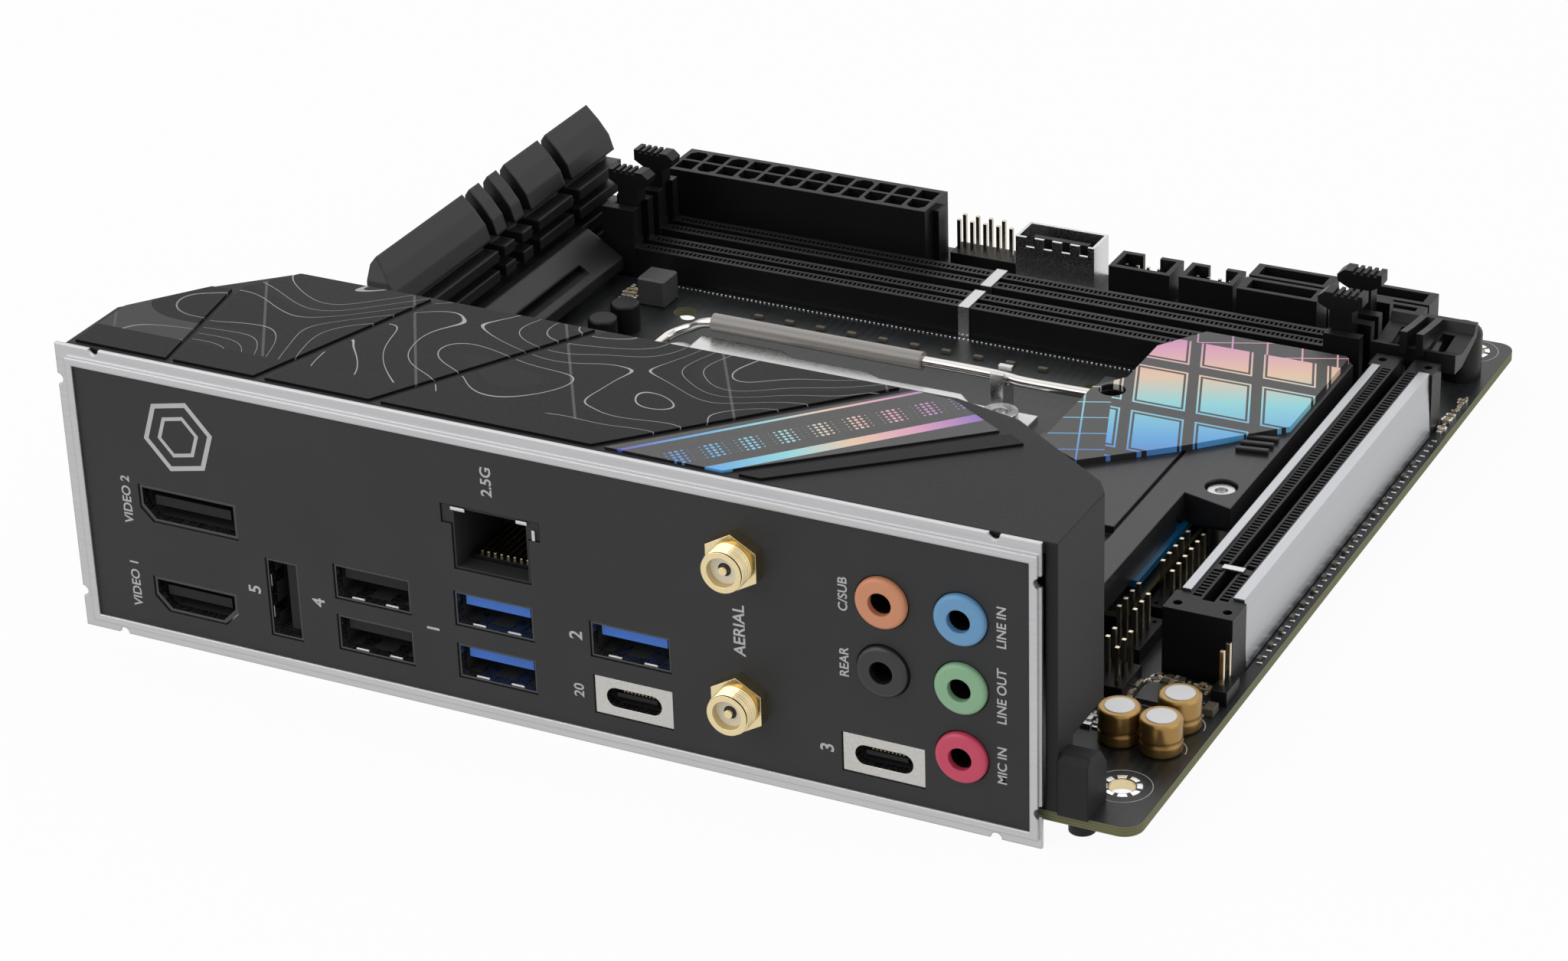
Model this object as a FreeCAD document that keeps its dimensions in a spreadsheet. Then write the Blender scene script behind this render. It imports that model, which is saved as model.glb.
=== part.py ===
# A small-form desktop computer main board with its rear port shield, port cover,
# heatsinks, processor socket, memory slots, graphics slot and cable connectors.
# Millimetres. X runs along the rear edge, Y from the rear edge to the front edge, +Z up.
# The origin is the centre of the board's outline on the underside that lies on the standoffs.
import FreeCAD
import Part
import math
import os
import re
import Sketcher

os.makedirs("parts", exist_ok=True)
doc = FreeCAD.newDocument("MainBoard")
sheet = doc.addObject("Spreadsheet::Sheet", "Sizes")

SIZES = [
    ("board_size", 170.0, "board outline, each way"),
    ("board_thick", 1.6, "board thickness"),
    ("board_corner", 3.0, "outline corner radius"),
    ("hole_r", 1.98, "mounting hole radius"),
    ("hole_x", 78.74, "mounting holes, distance from the centre line"),
    ("hole_front_y", 80.10, "front mounting holes"),
    ("hole_right_depth", 154.94, "front to rear hole distance, right side"),
    ("hole_left_depth", 132.08, "front to rear hole distance, left side"),
    ("socket_x", -13.4, "processor socket centre"),
    ("socket_y", 2.6, "processor socket centre"),
    ("cooler_pitch", 78.0, "cooler hole square"),
    ("cooler_old_pitch", 75.0, "older cooler hole square"),
    ("cooler_r", 2.0, "cooler hole radius"),
    ("shield_left", -90.3, "shield flange, left edge"),
    ("shield_right", 71.5, "shield flange, right edge"),
    ("shield_low", -5.5, "shield flange, lower edge from the board top"),
    ("shield_high", 43.0, "shield flange, upper edge from the board top"),
    ("face_left", -87.1, "face plate, left edge"),
    ("face_right", 70.0, "face plate, right edge"),
    ("face_low", -2.7, "face plate, lower edge"),
    ("face_high", 40.0, "face plate, upper edge"),
    ("face_y", -87.0, "face plate, outer surface"),
    ("face_thick", 1.0, "face plate thickness"),
    ("flange_thick", 0.6, "shield flange thickness"),
    ("bead_width", 1.2, "pressed bead round the shield"),
    ("seat_gap", 0.15, "clearance round a port in its opening"),
    ("port_depth", 18.0, "port bodies, depth behind the face"),
    ("shell_wall", 0.3, "sheet metal port wall"),
    ("cover_high", 42.7, "port cover, top from the board top"),
    ("cover_wall", 1.8, "port cover wall"),
    ("cover_left", -89.0, "port cover, left side"),
    ("cover_right", 73.4, "port cover, right side"),
    ("cover_back", -50.0, "port cover, edge toward the socket"),
    ("panel_thick", 0.4, "printed panel thickness"),
    ("sink_left", -84.8, "side heatsink, outer face"),
    ("sink_width", 7.4, "side heatsink, width of its tall part"),
    ("sink_high", 25.2, "side heatsink ridge height"),
    ("sink_rear", -9.0, "side heatsink, rear end"),
    ("sink_front", 65.5, "side heatsink, front end"),
    ("pad_high", 1.2, "power stage height"),
    ("pad_thick", 0.8, "thermal pad thickness"),
    ("pcie_x", 77.25, "graphics slot centre line"),
    ("pcie_rear", -42.9, "graphics slot, rear end"),
    ("pcie_front", 50.7, "graphics slot, front end"),
    ("pcie_high", 11.25, "graphics slot height"),
    ("pcie_width", 7.6, "graphics slot body width"),
    ("pcie_channel", 1.9, "graphics slot card channel"),
    ("dimm_y", 54.7, "first memory slot centre line"),
    ("dimm_pitch", 9.4, "memory slot pitch"),
    ("dimm_left", -67.2, "memory slot body, left end"),
    ("dimm_right", 62.2, "memory slot body, right end"),
    ("dimm_high", 5.65, "memory slot body height"),
    ("dimm_width", 6.6, "memory slot body width"),
    ("dimm_key_x", -3.0, "memory key position"),
    ("tower_long", 6.3, "memory slot end tower length"),
    ("tower_high", 13.0, "memory slot end tower height"),
    ("latch_thick", 3.0, "memory latch thickness"),
    ("latch_gap", 0.35, "clearance beside a moving latch"),
    ("latch_pin_r", 0.8, "memory latch pivot radius"),
    ("latch_pin_high", 3.2, "memory latch pivot height"),
    ("latch_reach", 2.2, "memory latch pivot, distance from the slot body"),
    ("header_high", 6.0, "shrouded header height"),
    ("drive_high", 7.4, "drive socket height"),
    ("latch_high", 19.4, "memory latch top height"),
    ("atx_left", -71.1, "main power connector, left end"),
    ("atx_right", -19.5, "main power connector, right end"),
    ("atx_rear", 71.1, "main power connector, rear face"),
    ("atx_front", 80.9, "main power connector, front face"),
    ("atx_high", 12.8, "main power connector height"),
    ("atx_pitch", 4.2, "main power connector pitch"),
    ("plug_pin", 0.64, "square header pin"),
    ("pin_pitch", 2.54, "header pin pitch"),
    ("m2_top", 12.0, "storage heatsink body top"),
    ("m2_low", 7.0, "storage heatsink body underside"),
    ("lever_r", 0.9, "load lever wire radius"),
    ("lever_y", 28.2, "load lever line"),
    ("lever_z", 6.2, "load lever height"),
    ("crank_x", -48.0, "load lever crank axis"),
    ("crank_z", 2.6, "load lever crank height"),
    ("lever_fit", 0.08, "running clearance round the crank"),
    ("plate_thick", 1.5, "load plate thickness"),
    ("plate_low", 2.9, "load plate underside height"),
    ("back_thick", 1.8, "stiffening plate thickness"),
    ("can_r", 3.2, "audio capacitor radius"),
    ("can_high", 5.5, "audio capacitor height"),
    ("jack_ring_r", 4.0, "audio jack ring radius"),
    ("clip_thick", 0.3, "thickness of the clip at a memory slot's key"),
    ("jack_hole_r", 1.8, "audio jack hole radius"),
    ("sma_r", 3.175, "aerial socket thread radius"),
    ("sma_tip", -92.0, "aerial socket tip"),
    ("tail_high", 1.4, "solder tail height below the board"),
]
for row, (alias, value, note) in enumerate(SIZES, 1):
    sheet.set("A%d" % row, note)
    sheet.set("B%d" % row, str(value))
    sheet.setAlias("B%d" % row, alias)
doc.recompute()
S = {alias: float(sheet.get(alias)) for alias, value, note in SIZES}
WORDS = re.compile(r"\b(" + "|".join(sorted(S, key=len, reverse=True)) + r")\b")
TOP = S["board_thick"]
FRONT = S["face_y"] + S["face_thick"]
NODES = {}


def link(text):
    """Turns size names in a formula into references to the sheet."""
    return WORDS.sub(r"Sizes.\1", str(text))


def bind(item, prop, text):
    item.setExpression(prop, link(text))


def move_to(item, x, y, z):
    bind(item, "Placement.Base.x", x)
    bind(item, "Placement.Base.y", y)
    bind(item, "Placement.Base.z", z)


def node(name, item):
    item.Label = name
    NODES[name] = item
    return item


def block(name, low, size):
    """A box from its low corner and its sizes, each a formula."""
    item = doc.addObject("Part::Box", name)
    bind(item, "Length", size[0])
    bind(item, "Width", size[1])
    bind(item, "Height", size[2])
    move_to(item, low[0], low[1], low[2])
    return item


def rod(name, base, radius, length, way="z"):
    """A cylinder from the centre of its base along x, y or z."""
    item = doc.addObject("Part::Cylinder", name)
    turn = {"z": (0, 0, 1, 0), "x": (0, 1, 0, 90), "y": (1, 0, 0, -90)}[way]
    spin = FreeCAD.Rotation(FreeCAD.Vector(turn[0], turn[1], turn[2]), turn[3])
    item.Placement = FreeCAD.Placement(FreeCAD.Vector(0, 0, 0), spin)
    bind(item, "Radius", radius)
    bind(item, "Height", length)
    move_to(item, base[0], base[1], base[2])
    return item


def less(name, base, tools):
    """The base with every tool cut away."""
    tool = tools[0]
    if len(tools) > 1:
        tool = doc.addObject("Part::MultiFuse", name + "_tools")
        tool.Shapes = tools
    item = doc.addObject("Part::Cut", name)
    item.Base = base
    item.Tool = tool
    return item


def union(name, pieces):
    item = doc.addObject("Part::MultiFuse", name)
    item.Shapes = pieces
    item.Refine = True
    return item


def profile(name, plane, start, length, corners):
    """A padded body: corners are formulas in the plane, start is its distance from the origin."""
    body = doc.addObject("PartDesign::Body", name)
    role = {"xy": "XY_Plane", "xz": "XZ_Plane", "yz": "YZ_Plane"}[plane]
    base = [f for f in body.Origin.OriginFeatures if f.Role == role][0]
    sketch = body.newObject("Sketcher::SketchObject", name + "_outline")
    sketch.AttachmentSupport = [(base, "")]
    sketch.MapMode = "FlatFace"
    count = len(corners)
    spots = []
    for i in range(count):
        turn = 2 * math.pi * i / count
        spots.append(FreeCAD.Vector(9 * math.cos(turn), 9 * math.sin(turn), 0))
    for i in range(count):
        sketch.addGeometry(Part.LineSegment(spots[i], spots[(i + 1) % count]), False)
    for i in range(count):
        sketch.addConstraint(Sketcher.Constraint("Coincident", i, 2, (i + 1) % count, 1))
    for i, (across, along) in enumerate(corners):
        first = sketch.addConstraint(Sketcher.Constraint("DistanceX", -1, 1, i, 1, spots[i].x))
        second = sketch.addConstraint(Sketcher.Constraint("DistanceY", -1, 1, i, 1, spots[i].y))
        bind(sketch, "Constraints[%d]" % first, across)
        bind(sketch, "Constraints[%d]" % second, along)
    bind(sketch, "AttachmentOffset.Base.z", start)
    pad = body.newObject("PartDesign::Pad", name + "_pad")
    pad.Profile = sketch
    bind(pad, "Length", length)
    body.Tip = pad
    return body


def coded(name, shape, x=0.0, y=0.0, z=0.0):
    """A piece whose shape is worked out in code from the sheet's sizes."""
    item = doc.addObject("Part::Feature", name)
    item.Shape = shape
    item.Placement = FreeCAD.Placement(FreeCAD.Vector(x, y, z), FreeCAD.Rotation())
    return item


def slab(x0, x1, y0, y1, z0, z1):
    """A plain box shape between two corners, heights from the board top."""
    return Part.makeBox(x1 - x0, y1 - y0, z1 - z0, FreeCAD.Vector(x0, y0, z0 + TOP))


def post(x, y, z0, z1, radius):
    return Part.makeCylinder(radius, z1 - z0, FreeCAD.Vector(x, y, z0 + TOP))


def barrel(x, y0, y1, z, radius):
    """A round shape along Y."""
    spot = FreeCAD.Vector(x, y0, z + TOP)
    return Part.makeCylinder(radius, y1 - y0, spot, FreeCAD.Vector(0, 1, 0))


def sheet_poly(points, z0, z1):
    """A flat plate from plan points, heights from the board top."""
    spots = [FreeCAD.Vector(x, y, z0 + TOP) for x, y in points]
    face = Part.Face(Part.makePolygon(spots + [spots[0]]))
    return face.extrude(FreeCAD.Vector(0, 0, z1 - z0))


def side_poly(points, y0, y1):
    """A prism along Y from points in X and Z, heights from the board top."""
    spots = [FreeCAD.Vector(x, y0, z + TOP) for x, z in points]
    face = Part.Face(Part.makePolygon(spots + [spots[0]]))
    return face.extrude(FreeCAD.Vector(0, y1 - y0, 0))


def end_poly(points, x0, x1):
    """A prism along X from points in Y and Z, heights from the board top."""
    spots = [FreeCAD.Vector(x0, y, z + TOP) for y, z in points]
    face = Part.Face(Part.makePolygon(spots + [spots[0]]))
    return face.extrude(FreeCAD.Vector(x1 - x0, 0, 0))


def group(shapes):
    return Part.makeCompound(shapes)


def share(name, shapes):
    """Adds like pieces to a node that several connectors share."""
    SHARED.setdefault(name, []).extend(shapes)


SHARED = {}


# The board: a square plate with rounded corners, mounting holes and cooler holes.
def make_board():
    half = "board_size / 2"
    back = "-board_size / 2"
    plate = profile("board_plate", "xy", "0", "board_thick",
                    [(back, back), (half, back), (half, half), (back, half)])
    doc.recompute()
    pad = plate.Tip
    names = []
    for i, edge in enumerate(pad.Shape.Edges, 1):
        ends = [v.Point for v in edge.Vertexes]
        if abs(ends[0].z - ends[1].z) > S["board_thick"] / 2:
            names.append("Edge%d" % i)
    rounded = plate.newObject("PartDesign::Fillet", "board_corners")
    rounded.Base = (pad, names)
    bind(rounded, "Radius", "board_corner")
    plate.Tip = rounded
    holes = []
    spots = [("hole_x", "hole_front_y"), ("-hole_x", "hole_front_y"),
             ("hole_x", "hole_front_y - hole_right_depth"),
             ("-hole_x", "hole_front_y - hole_left_depth")]
    for i, (x, y) in enumerate(spots):
        holes.append(rod("mount_hole_%d" % i, (x, y, "-1"), "hole_r", "board_thick + 2"))
    for i, (a, b) in enumerate([(-1, -1), (1, -1), (1, 1), (-1, 1)]):
        for which, pitch, shrink in (("new", "cooler_pitch", "1"), ("old", "cooler_old_pitch", "0.7")):
            spot = ("socket_x + %d * %s / 2" % (a, pitch), "socket_y + %d * %s / 2" % (b, pitch), "-1")
            holes.append(rod("cooler_hole_%s_%d" % (which, i), spot,
                             "cooler_r * " + shrink, "board_thick + 2"))
    peg = ("cover_right + %s" % PEG_X, "%s" % PEG_Y, "-1")
    holes.append(rod("peg_hole", peg, "hole_r - 0.4", "board_thick + 2"))
    for i, (a, b) in enumerate(FRAME_SCREWS):
        spot = ("socket_x + %s" % a, "socket_y + %s" % b, "-1")
        holes.append(rod("frame_hole_%d" % i, spot, "1.8", "board_thick + 2"))
    return node("circuit_board", less("circuit_board", plate, holes))


FRAME_SCREWS = [(-30.0, -20.0), (30.0, -20.0), (30.0, 20.0), (-30.0, 20.0)]

# Port openings in the face: left, right, low and high edges from the board top.
VIDEO_TOP = (-77.4, -59.8, 15.7, 21.9)
VIDEO_LOW = (-76.4, -61.2, 0.4, 6.3)
USB_UPRIGHT = (-55.4, -49.6, 0.5, 13.9)
USB_PAIR = [(-43.3, -29.9, 9.5, 15.5), (-43.3, -29.9, 0.8, 6.9)]
LAN = (-21.9, -8.9, 19.2, 29.8)
LAN_STEP = (-23.6, -7.0, 26.6, 29.8)
USB_BLUE = [(-22.4, -8.9, 9.6, 15.5), (-22.4, -8.9, 0.8, 6.7), (0.4, 13.8, 9.5, 15.5)]
USB_C = [(0.6, 13.7, 0.1, 6.6), (40.8, 53.9, 0.1, 6.6)]
JACKS = {"orange": (47.6, 28.9), "black": (47.6, 18.0), "blue": (59.6, 28.9),
         "green": (59.6, 18.0), "pink": (59.6, 6.9)}
JACK_BODIES = {"orange": (42.6, 53.6, 23.5, 34.0), "black": (42.6, 53.6, 7.2, 23.5),
               "blue": (53.6, 64.6, 23.5, 34.0), "green": (53.6, 64.6, 12.5, 23.5),
               "pink": (54.4, 64.6, 0.0, 12.5)}
AERIALS = [(25.1, 31.1), (25.1, 8.0)]


def opening(spot, grow=0.0):
    """A cutter through the face for one port."""
    x0, x1, z0, z1 = spot
    return slab(x0 - grow, x1 + grow, S["face_y"] - 1, FRONT + 1, z0 - grow, z1 + grow)


def video_outline(spot, cut, both, grow=0.0):
    """The D-shaped outline of a video port: cut corners at the lower side."""
    x0, x1, z0, z1 = spot[0] - grow, spot[1] + grow, spot[2] - grow, spot[3] + grow
    if both:
        return [(x0 + cut, z0), (x1 - cut, z0), (x1, z0 + cut), (x1, z1), (x0, z1), (x0, z0 + cut)]
    return [(x0 + cut, z0), (x1, z0), (x1, z1), (x0, z1), (x0, z0 + cut)]


# The black face plate with an opening for each port.
def make_face_plate():
    plate = block("face_blank", ("face_left", "face_y", "board_thick + face_low"),
                  ("face_right - face_left", "face_thick", "face_high - face_low"))
    cuts = [side_poly(video_outline(VIDEO_TOP, 2.2, False), S["face_y"] - 1, FRONT + 1),
            side_poly(video_outline(VIDEO_LOW, 2.4, True), S["face_y"] - 1, FRONT + 1)]
    for spot in [USB_UPRIGHT, LAN, LAN_STEP] + USB_PAIR + USB_BLUE + USB_C:
        cuts.append(opening(spot))
    for x, z in JACKS.values():
        cuts.append(barrel(x, S["face_y"] - 1, FRONT + 1, z, S["jack_ring_r"] + S["seat_gap"]))
    for x, z in AERIALS:
        cuts.append(barrel(x, S["face_y"] - 1, FRONT + 1, z, S["sma_r"] + 0.5))
    tool = coded("face_openings", group(cuts))
    return node("io_face_plate", less("io_face_plate", plate, [tool]))


# The bright flange round the face plate, with its pressed bead and edge notches.
def make_flange():
    y0 = "face_y + face_thick - flange_thick"
    outer = block("flange_blank", ("shield_left", y0, "board_thick + shield_low"),
                  ("shield_right - shield_left", "flange_thick", "shield_high - shield_low"))
    hole = block("flange_window", ("face_left", "face_y - 2", "board_thick + face_low"),
                 ("face_right - face_left", "6", "face_high - face_low"))
    corner = ("face_left - bead_width", "face_y - 0.4", "board_thick + face_low - bead_width")
    size = ("face_right - face_left + 2 * bead_width", "flange_thick + 0.4",
            "face_high - face_low + 2 * bead_width")
    bead = block("bead_blank", corner, size)
    whole = union("flange_and_bead", [outer, bead])
    notches = []
    for z in (S["shield_low"], S["shield_high"]):
        for x in (S["shield_left"] + 7, S["shield_right"] - 7):
            notches.append(barrel(x, S["face_y"] - 2, FRONT + 1, z, 0.9))
    for x in (S["shield_left"], S["shield_right"]):
        for z in (S["shield_low"] + 6, S["shield_high"] - 6):
            notches.append(barrel(x, S["face_y"] - 2, FRONT + 1, z, 0.9))
    cutter = coded("flange_notches", group(notches))
    return node("io_shield_flange", less("io_shield_flange", whole, [hole, cutter]))


def port_body(spots, cavities, x0, x1, z1, depth):
    """A sheet metal housing behind the face with noses that fill the openings."""
    gap = S["seat_gap"]
    body = slab(x0, x1, FRONT + 0.1, FRONT + depth, 0.0, z1)
    for spot in spots:
        nose = slab(spot[0] + gap, spot[1] - gap, S["face_y"] + 0.2, FRONT + 2,
                    spot[2] + gap, spot[3] - gap)
        body = body.fuse(nose)
    for hole in cavities:
        body = body.cut(hole)
    return body.removeSplitter()


def cavity(spot, depth, wall=None):
    wall = S["shell_wall"] if wall is None else wall
    inset = S["seat_gap"] + wall
    return slab(spot[0] + inset, spot[1] - inset, S["face_y"] - 1, S["face_y"] + depth,
                spot[2] + inset, spot[3] - inset)


# The two video ports in one tall housing.
def make_video():
    gap = S["seat_gap"]
    body = slab(-77.8, -59.4, FRONT + 0.1, FRONT + S["port_depth"], 0.0, 22.6)
    nose = S["face_y"] + 0.2
    upper = video_outline(VIDEO_TOP, 2.2, False, -gap)
    lower = video_outline(VIDEO_LOW, 2.4, True, -gap)
    body = body.fuse(side_poly(upper, nose, FRONT + 2)).fuse(side_poly(lower, nose, FRONT + 2))
    inset = gap + S["shell_wall"] + 0.15
    outlines = [video_outline(VIDEO_TOP, 2.2, False, -inset), video_outline(VIDEO_LOW, 2.4, True, -inset)]
    for outline in outlines:
        body = body.cut(side_poly(outline, S["face_y"] - 1, S["face_y"] + 11))
    node("video_port_housing", coded("video_port_housing", body.removeSplitter()))
    tongues = [slab(-75.2, -61.6, S["face_y"] + 1.2, S["face_y"] + 11, 18.3, 19.9),
               slab(-74.6, -63.0, S["face_y"] + 1.2, S["face_y"] + 11, 2.9, 4.5)]
    share("port_tongues", tongues)


def tongue_flat(spot, drop, depth=11.0):
    """A contact tongue hung below the top of a flat port."""
    x0, x1, z0, z1 = spot
    return slab(x0 + 1.3, x1 - 1.3, S["face_y"] + 1.4, S["face_y"] + depth, z1 - drop - 1.8, z1 - drop)


# The upright data port at the left.
def make_upright_port():
    hole = cavity(USB_UPRIGHT, 12.0)
    body = port_body([USB_UPRIGHT], [hole], -56.2, -48.8, 14.4, S["port_depth"])
    share("usb_housings", [body])


# The pair of flat data ports.
def make_pair_port():
    holes = [cavity(spot, 12.0) for spot in USB_PAIR]
    body = port_body(USB_PAIR, holes, -43.8, -29.4, 16.2, S["port_depth"])
    share("usb_housings", [body])


# The network port above two fast data ports.
def make_lan_port():
    gap = S["seat_gap"]
    holes = [cavity(USB_BLUE[0], 12.0), cavity(USB_BLUE[1], 12.0), cavity(LAN, 14.0)]
    step = slab(LAN[0] + 2.6, LAN[1] - 2.6, S["face_y"] - 1, S["face_y"] + 14, 24.0, 28.2)
    spots = [USB_BLUE[0], USB_BLUE[1], LAN]
    body = port_body(spots, holes + [step], -22.9, -8.2, 30.6, S["port_depth"] + 3)
    ears = slab(LAN_STEP[0] + gap, LAN_STEP[1] - gap, S["face_y"] + 0.2, FRONT + 1,
                LAN_STEP[2] + gap, LAN_STEP[3] - gap)
    ears = ears.cut(slab(LAN[0] + 1, LAN[1] - 1, S["face_y"] - 1, FRONT + 2, 20.0, 29.3))
    body = body.fuse(ears).cut(cavity(LAN, 14.0)).removeSplitter()
    node("lan_usb_housing", coded("lan_usb_housing", body))
    pins = []
    for i in range(8):
        x = -19.6 + i * 1.1
        pins.append(slab(x, x + 0.4, S["face_y"] + 4, S["face_y"] + 13.2, 20.4, 20.8))
    seat = slab(-20.6, -10.2, S["face_y"] + 3.2, S["face_y"] + 14.0, 19.65, 20.4)
    share("port_tongues", [seat])
    share("gold_contacts", pins)


# The fast data port above the small reversible port, and the second small port.
def make_small_ports():
    holes = [cavity(USB_BLUE[2], 12.0), small_mouth(USB_C[0])]
    body = port_body([USB_BLUE[2], USB_C[0]], holes, 0.0, 14.2, 16.2, S["port_depth"])
    share("usb_housings", [body])
    body = port_body([USB_C[1]], [small_mouth(USB_C[1])], 40.4, 54.3, 7.0, 11.0)
    share("usb_housings", [body])
    tongues = []
    for spot in USB_C:
        x = (spot[0] + spot[1]) / 2
        z = (spot[2] + spot[3]) / 2
        tongues.append(slab(x - 3.3, x + 3.3, S["face_y"] + 1.2, S["face_y"] + 7.2, z - 0.35, z + 0.35))
    share("port_tongues", tongues)


def small_mouth(spot):
    """The rounded mouth of a small reversible port."""
    x = (spot[0] + spot[1]) / 2
    z = (spot[2] + spot[3]) / 2
    y0, y1 = S["face_y"] - 1, S["face_y"] + 7.2
    ends = barrel(x - 2.95, y0, y1, z, 1.6).fuse(barrel(x + 2.95, y0, y1, z, 1.6))
    return ends.fuse(slab(x - 2.95, x + 2.95, y0, y1, z - 1.6, z + 1.6)).removeSplitter()


# Contact tongues inside the flat data ports.
def make_tongues():
    dark = [tongue_flat(spot, 1.0, 12.0) for spot in USB_PAIR]
    x0, x1, z0, z1 = USB_UPRIGHT
    dark.append(slab(x1 - 2.8, x1 - 1.0, S["face_y"] + 1.4, S["face_y"] + 12, z0 + 1.3, z1 - 1.3))
    share("port_tongues", dark)
    blue = [tongue_flat(spot, 0.9, 12.0) for spot in USB_BLUE]
    node("usb_blue_tongues", coded("usb_blue_tongues", group(blue)))


# The audio jack stack: a moulded body for each jack, and a coloured ring in its mouth.
def make_jacks():
    bodies = []
    for name, (x, z) in JACKS.items():
        x0, x1, z0, z1 = JACK_BODIES[name]
        body = slab(x0, x1, FRONT + 0.1, FRONT + 13, z0, z1)
        body = body.cut(barrel(x, FRONT - 1, FRONT + 2.0, z, S["jack_ring_r"]))
        bodies.append(body.cut(barrel(x, FRONT - 1, FRONT + 12.0, z, S["jack_hole_r"])))
    node("audio_jack_housing", coded("audio_jack_housing", group(bodies)))
    for name, (x, z) in JACKS.items():
        ring = barrel(x, S["face_y"] - 0.9, FRONT + 2.0, z, S["jack_ring_r"])
        ring = ring.makeFillet(0.7, [ring.Edges[i] for i in range(3)
                                     if abs(ring.Edges[i].CenterOfMass.y - S["face_y"] + 0.9) < 0.01])
        ring = ring.cut(barrel(x, S["face_y"] - 2, FRONT + 3, z, S["jack_hole_r"]))
        node("jack_ring_" + name, coded("jack_ring_" + name, ring))


# The two threaded aerial sockets, each with a nut, an insulator and a centre pin.
def make_aerials():
    nuts, screws, cores, pins = [], [], [], []
    for x, z in AERIALS:
        spots = [FreeCAD.Vector(x + 4.6 * math.cos(math.radians(60 * i + 30)), S["face_y"] - 2.0,
                                z + TOP + 4.6 * math.sin(math.radians(60 * i + 30))) for i in range(6)]
        nut = Part.Face(Part.makePolygon(spots + [spots[0]])).extrude(FreeCAD.Vector(0, 2.0, 0))
        nuts.append(nut.cut(barrel(x, S["face_y"] - 4, FRONT, z, S["sma_r"] + 0.02)))
        body = barrel(x, S["sma_tip"], FRONT + 8, z, S["sma_r"])
        for k in range(4):
            y = S["sma_tip"] + 0.6 + 0.7 * k
            ring = barrel(x, y, y + 0.3, z, S["sma_r"] + 1)
            body = body.cut(ring.cut(barrel(x, y - 1, y + 2, z, S["sma_r"] - 0.25)))
        body = body.cut(barrel(x, S["sma_tip"] - 1, S["sma_tip"] + 6, z, 2.3))
        screws.append(body.removeSplitter())
        core = barrel(x, S["sma_tip"] + 1.2, S["sma_tip"] + 6, z, 2.3)
        cores.append(core.cut(barrel(x, S["sma_tip"], S["sma_tip"] + 7, z, 0.65)))
        pins.append(barrel(x, S["sma_tip"] + 0.4, S["sma_tip"] + 6, z, 0.65))
    node("aerial_nuts", coded("aerial_nuts", group(nuts)))
    node("aerial_sockets", coded("aerial_sockets", group(screws + pins)))
    node("aerial_insulators", coded("aerial_insulators", group(cores)))
    card = slab(14.6, 36.0, FRONT + 8.0, FRONT + 11.0, 0.0, 38.5)
    node("wireless_module", coded("wireless_module", card))


# The port cover: a hollow shell with a bevelled right edge, open toward the ports and below.
def make_cover():
    back = S["cover_back"]
    plan = [("cover_left", "face_y + 1.6"), ("cover_right", "face_y + 1.6"),
            ("cover_right", "cover_back - 19"), ("cover_right - 1.9", "cover_back - 16"),
            ("cover_right - 20", "cover_back - 2.9"), ("cover_right - 31", "cover_back"),
            ("cover_left + 19.6", "cover_back"), ("cover_left + 9", "cover_back - 10"),
            ("cover_left", "cover_back - 21.8")]
    outer = profile("cover_outer", "xy", "board_thick + 0.3", "cover_high - 0.3", plan)
    inner = [("cover_left + cover_wall", "face_y"), ("cover_right - cover_wall", "face_y"),
             ("cover_right - cover_wall", "cover_back - 19.6"),
             ("cover_right - 21", "cover_back - 4.9"),
             ("cover_right - 31.5", "cover_back - cover_wall"),
             ("cover_left + 20.4", "cover_back - cover_wall"), ("cover_left + 10.2", "cover_back - 11.4"),
             ("cover_left + cover_wall", "cover_back - 22.4")]
    hollow = profile("cover_inner", "xy", "board_thick - 1", "cover_high - cover_wall + 1", inner)
    low = slab(-88.9, 90.0, back - 30, back + 5, -1.0, 10.0)
    low = low.fuse(slab(-60.0, 52.0, back - 30, back + 5, -1.0, 15.0))
    left = slab(-95.0, -80.0, -80.0, back + 5, -1.0, 12.0)
    span = Part.makeBox(30, 60, 30, FreeCAD.Vector(0, -30, 0))
    span.rotate(FreeCAD.Vector(0, 0, 0), FreeCAD.Vector(0, 1, 0), 40)
    span.translate(FreeCAD.Vector(S["cover_right"] - 1.6, -72, S["cover_high"] + TOP))
    tools = coded("cover_cuts", low.fuse(left).removeSplitter())
    bevel = coded("cover_bevel_cut", span)
    return node("io_cover", less("io_cover", outer, [hollow, tools, bevel]))


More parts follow.
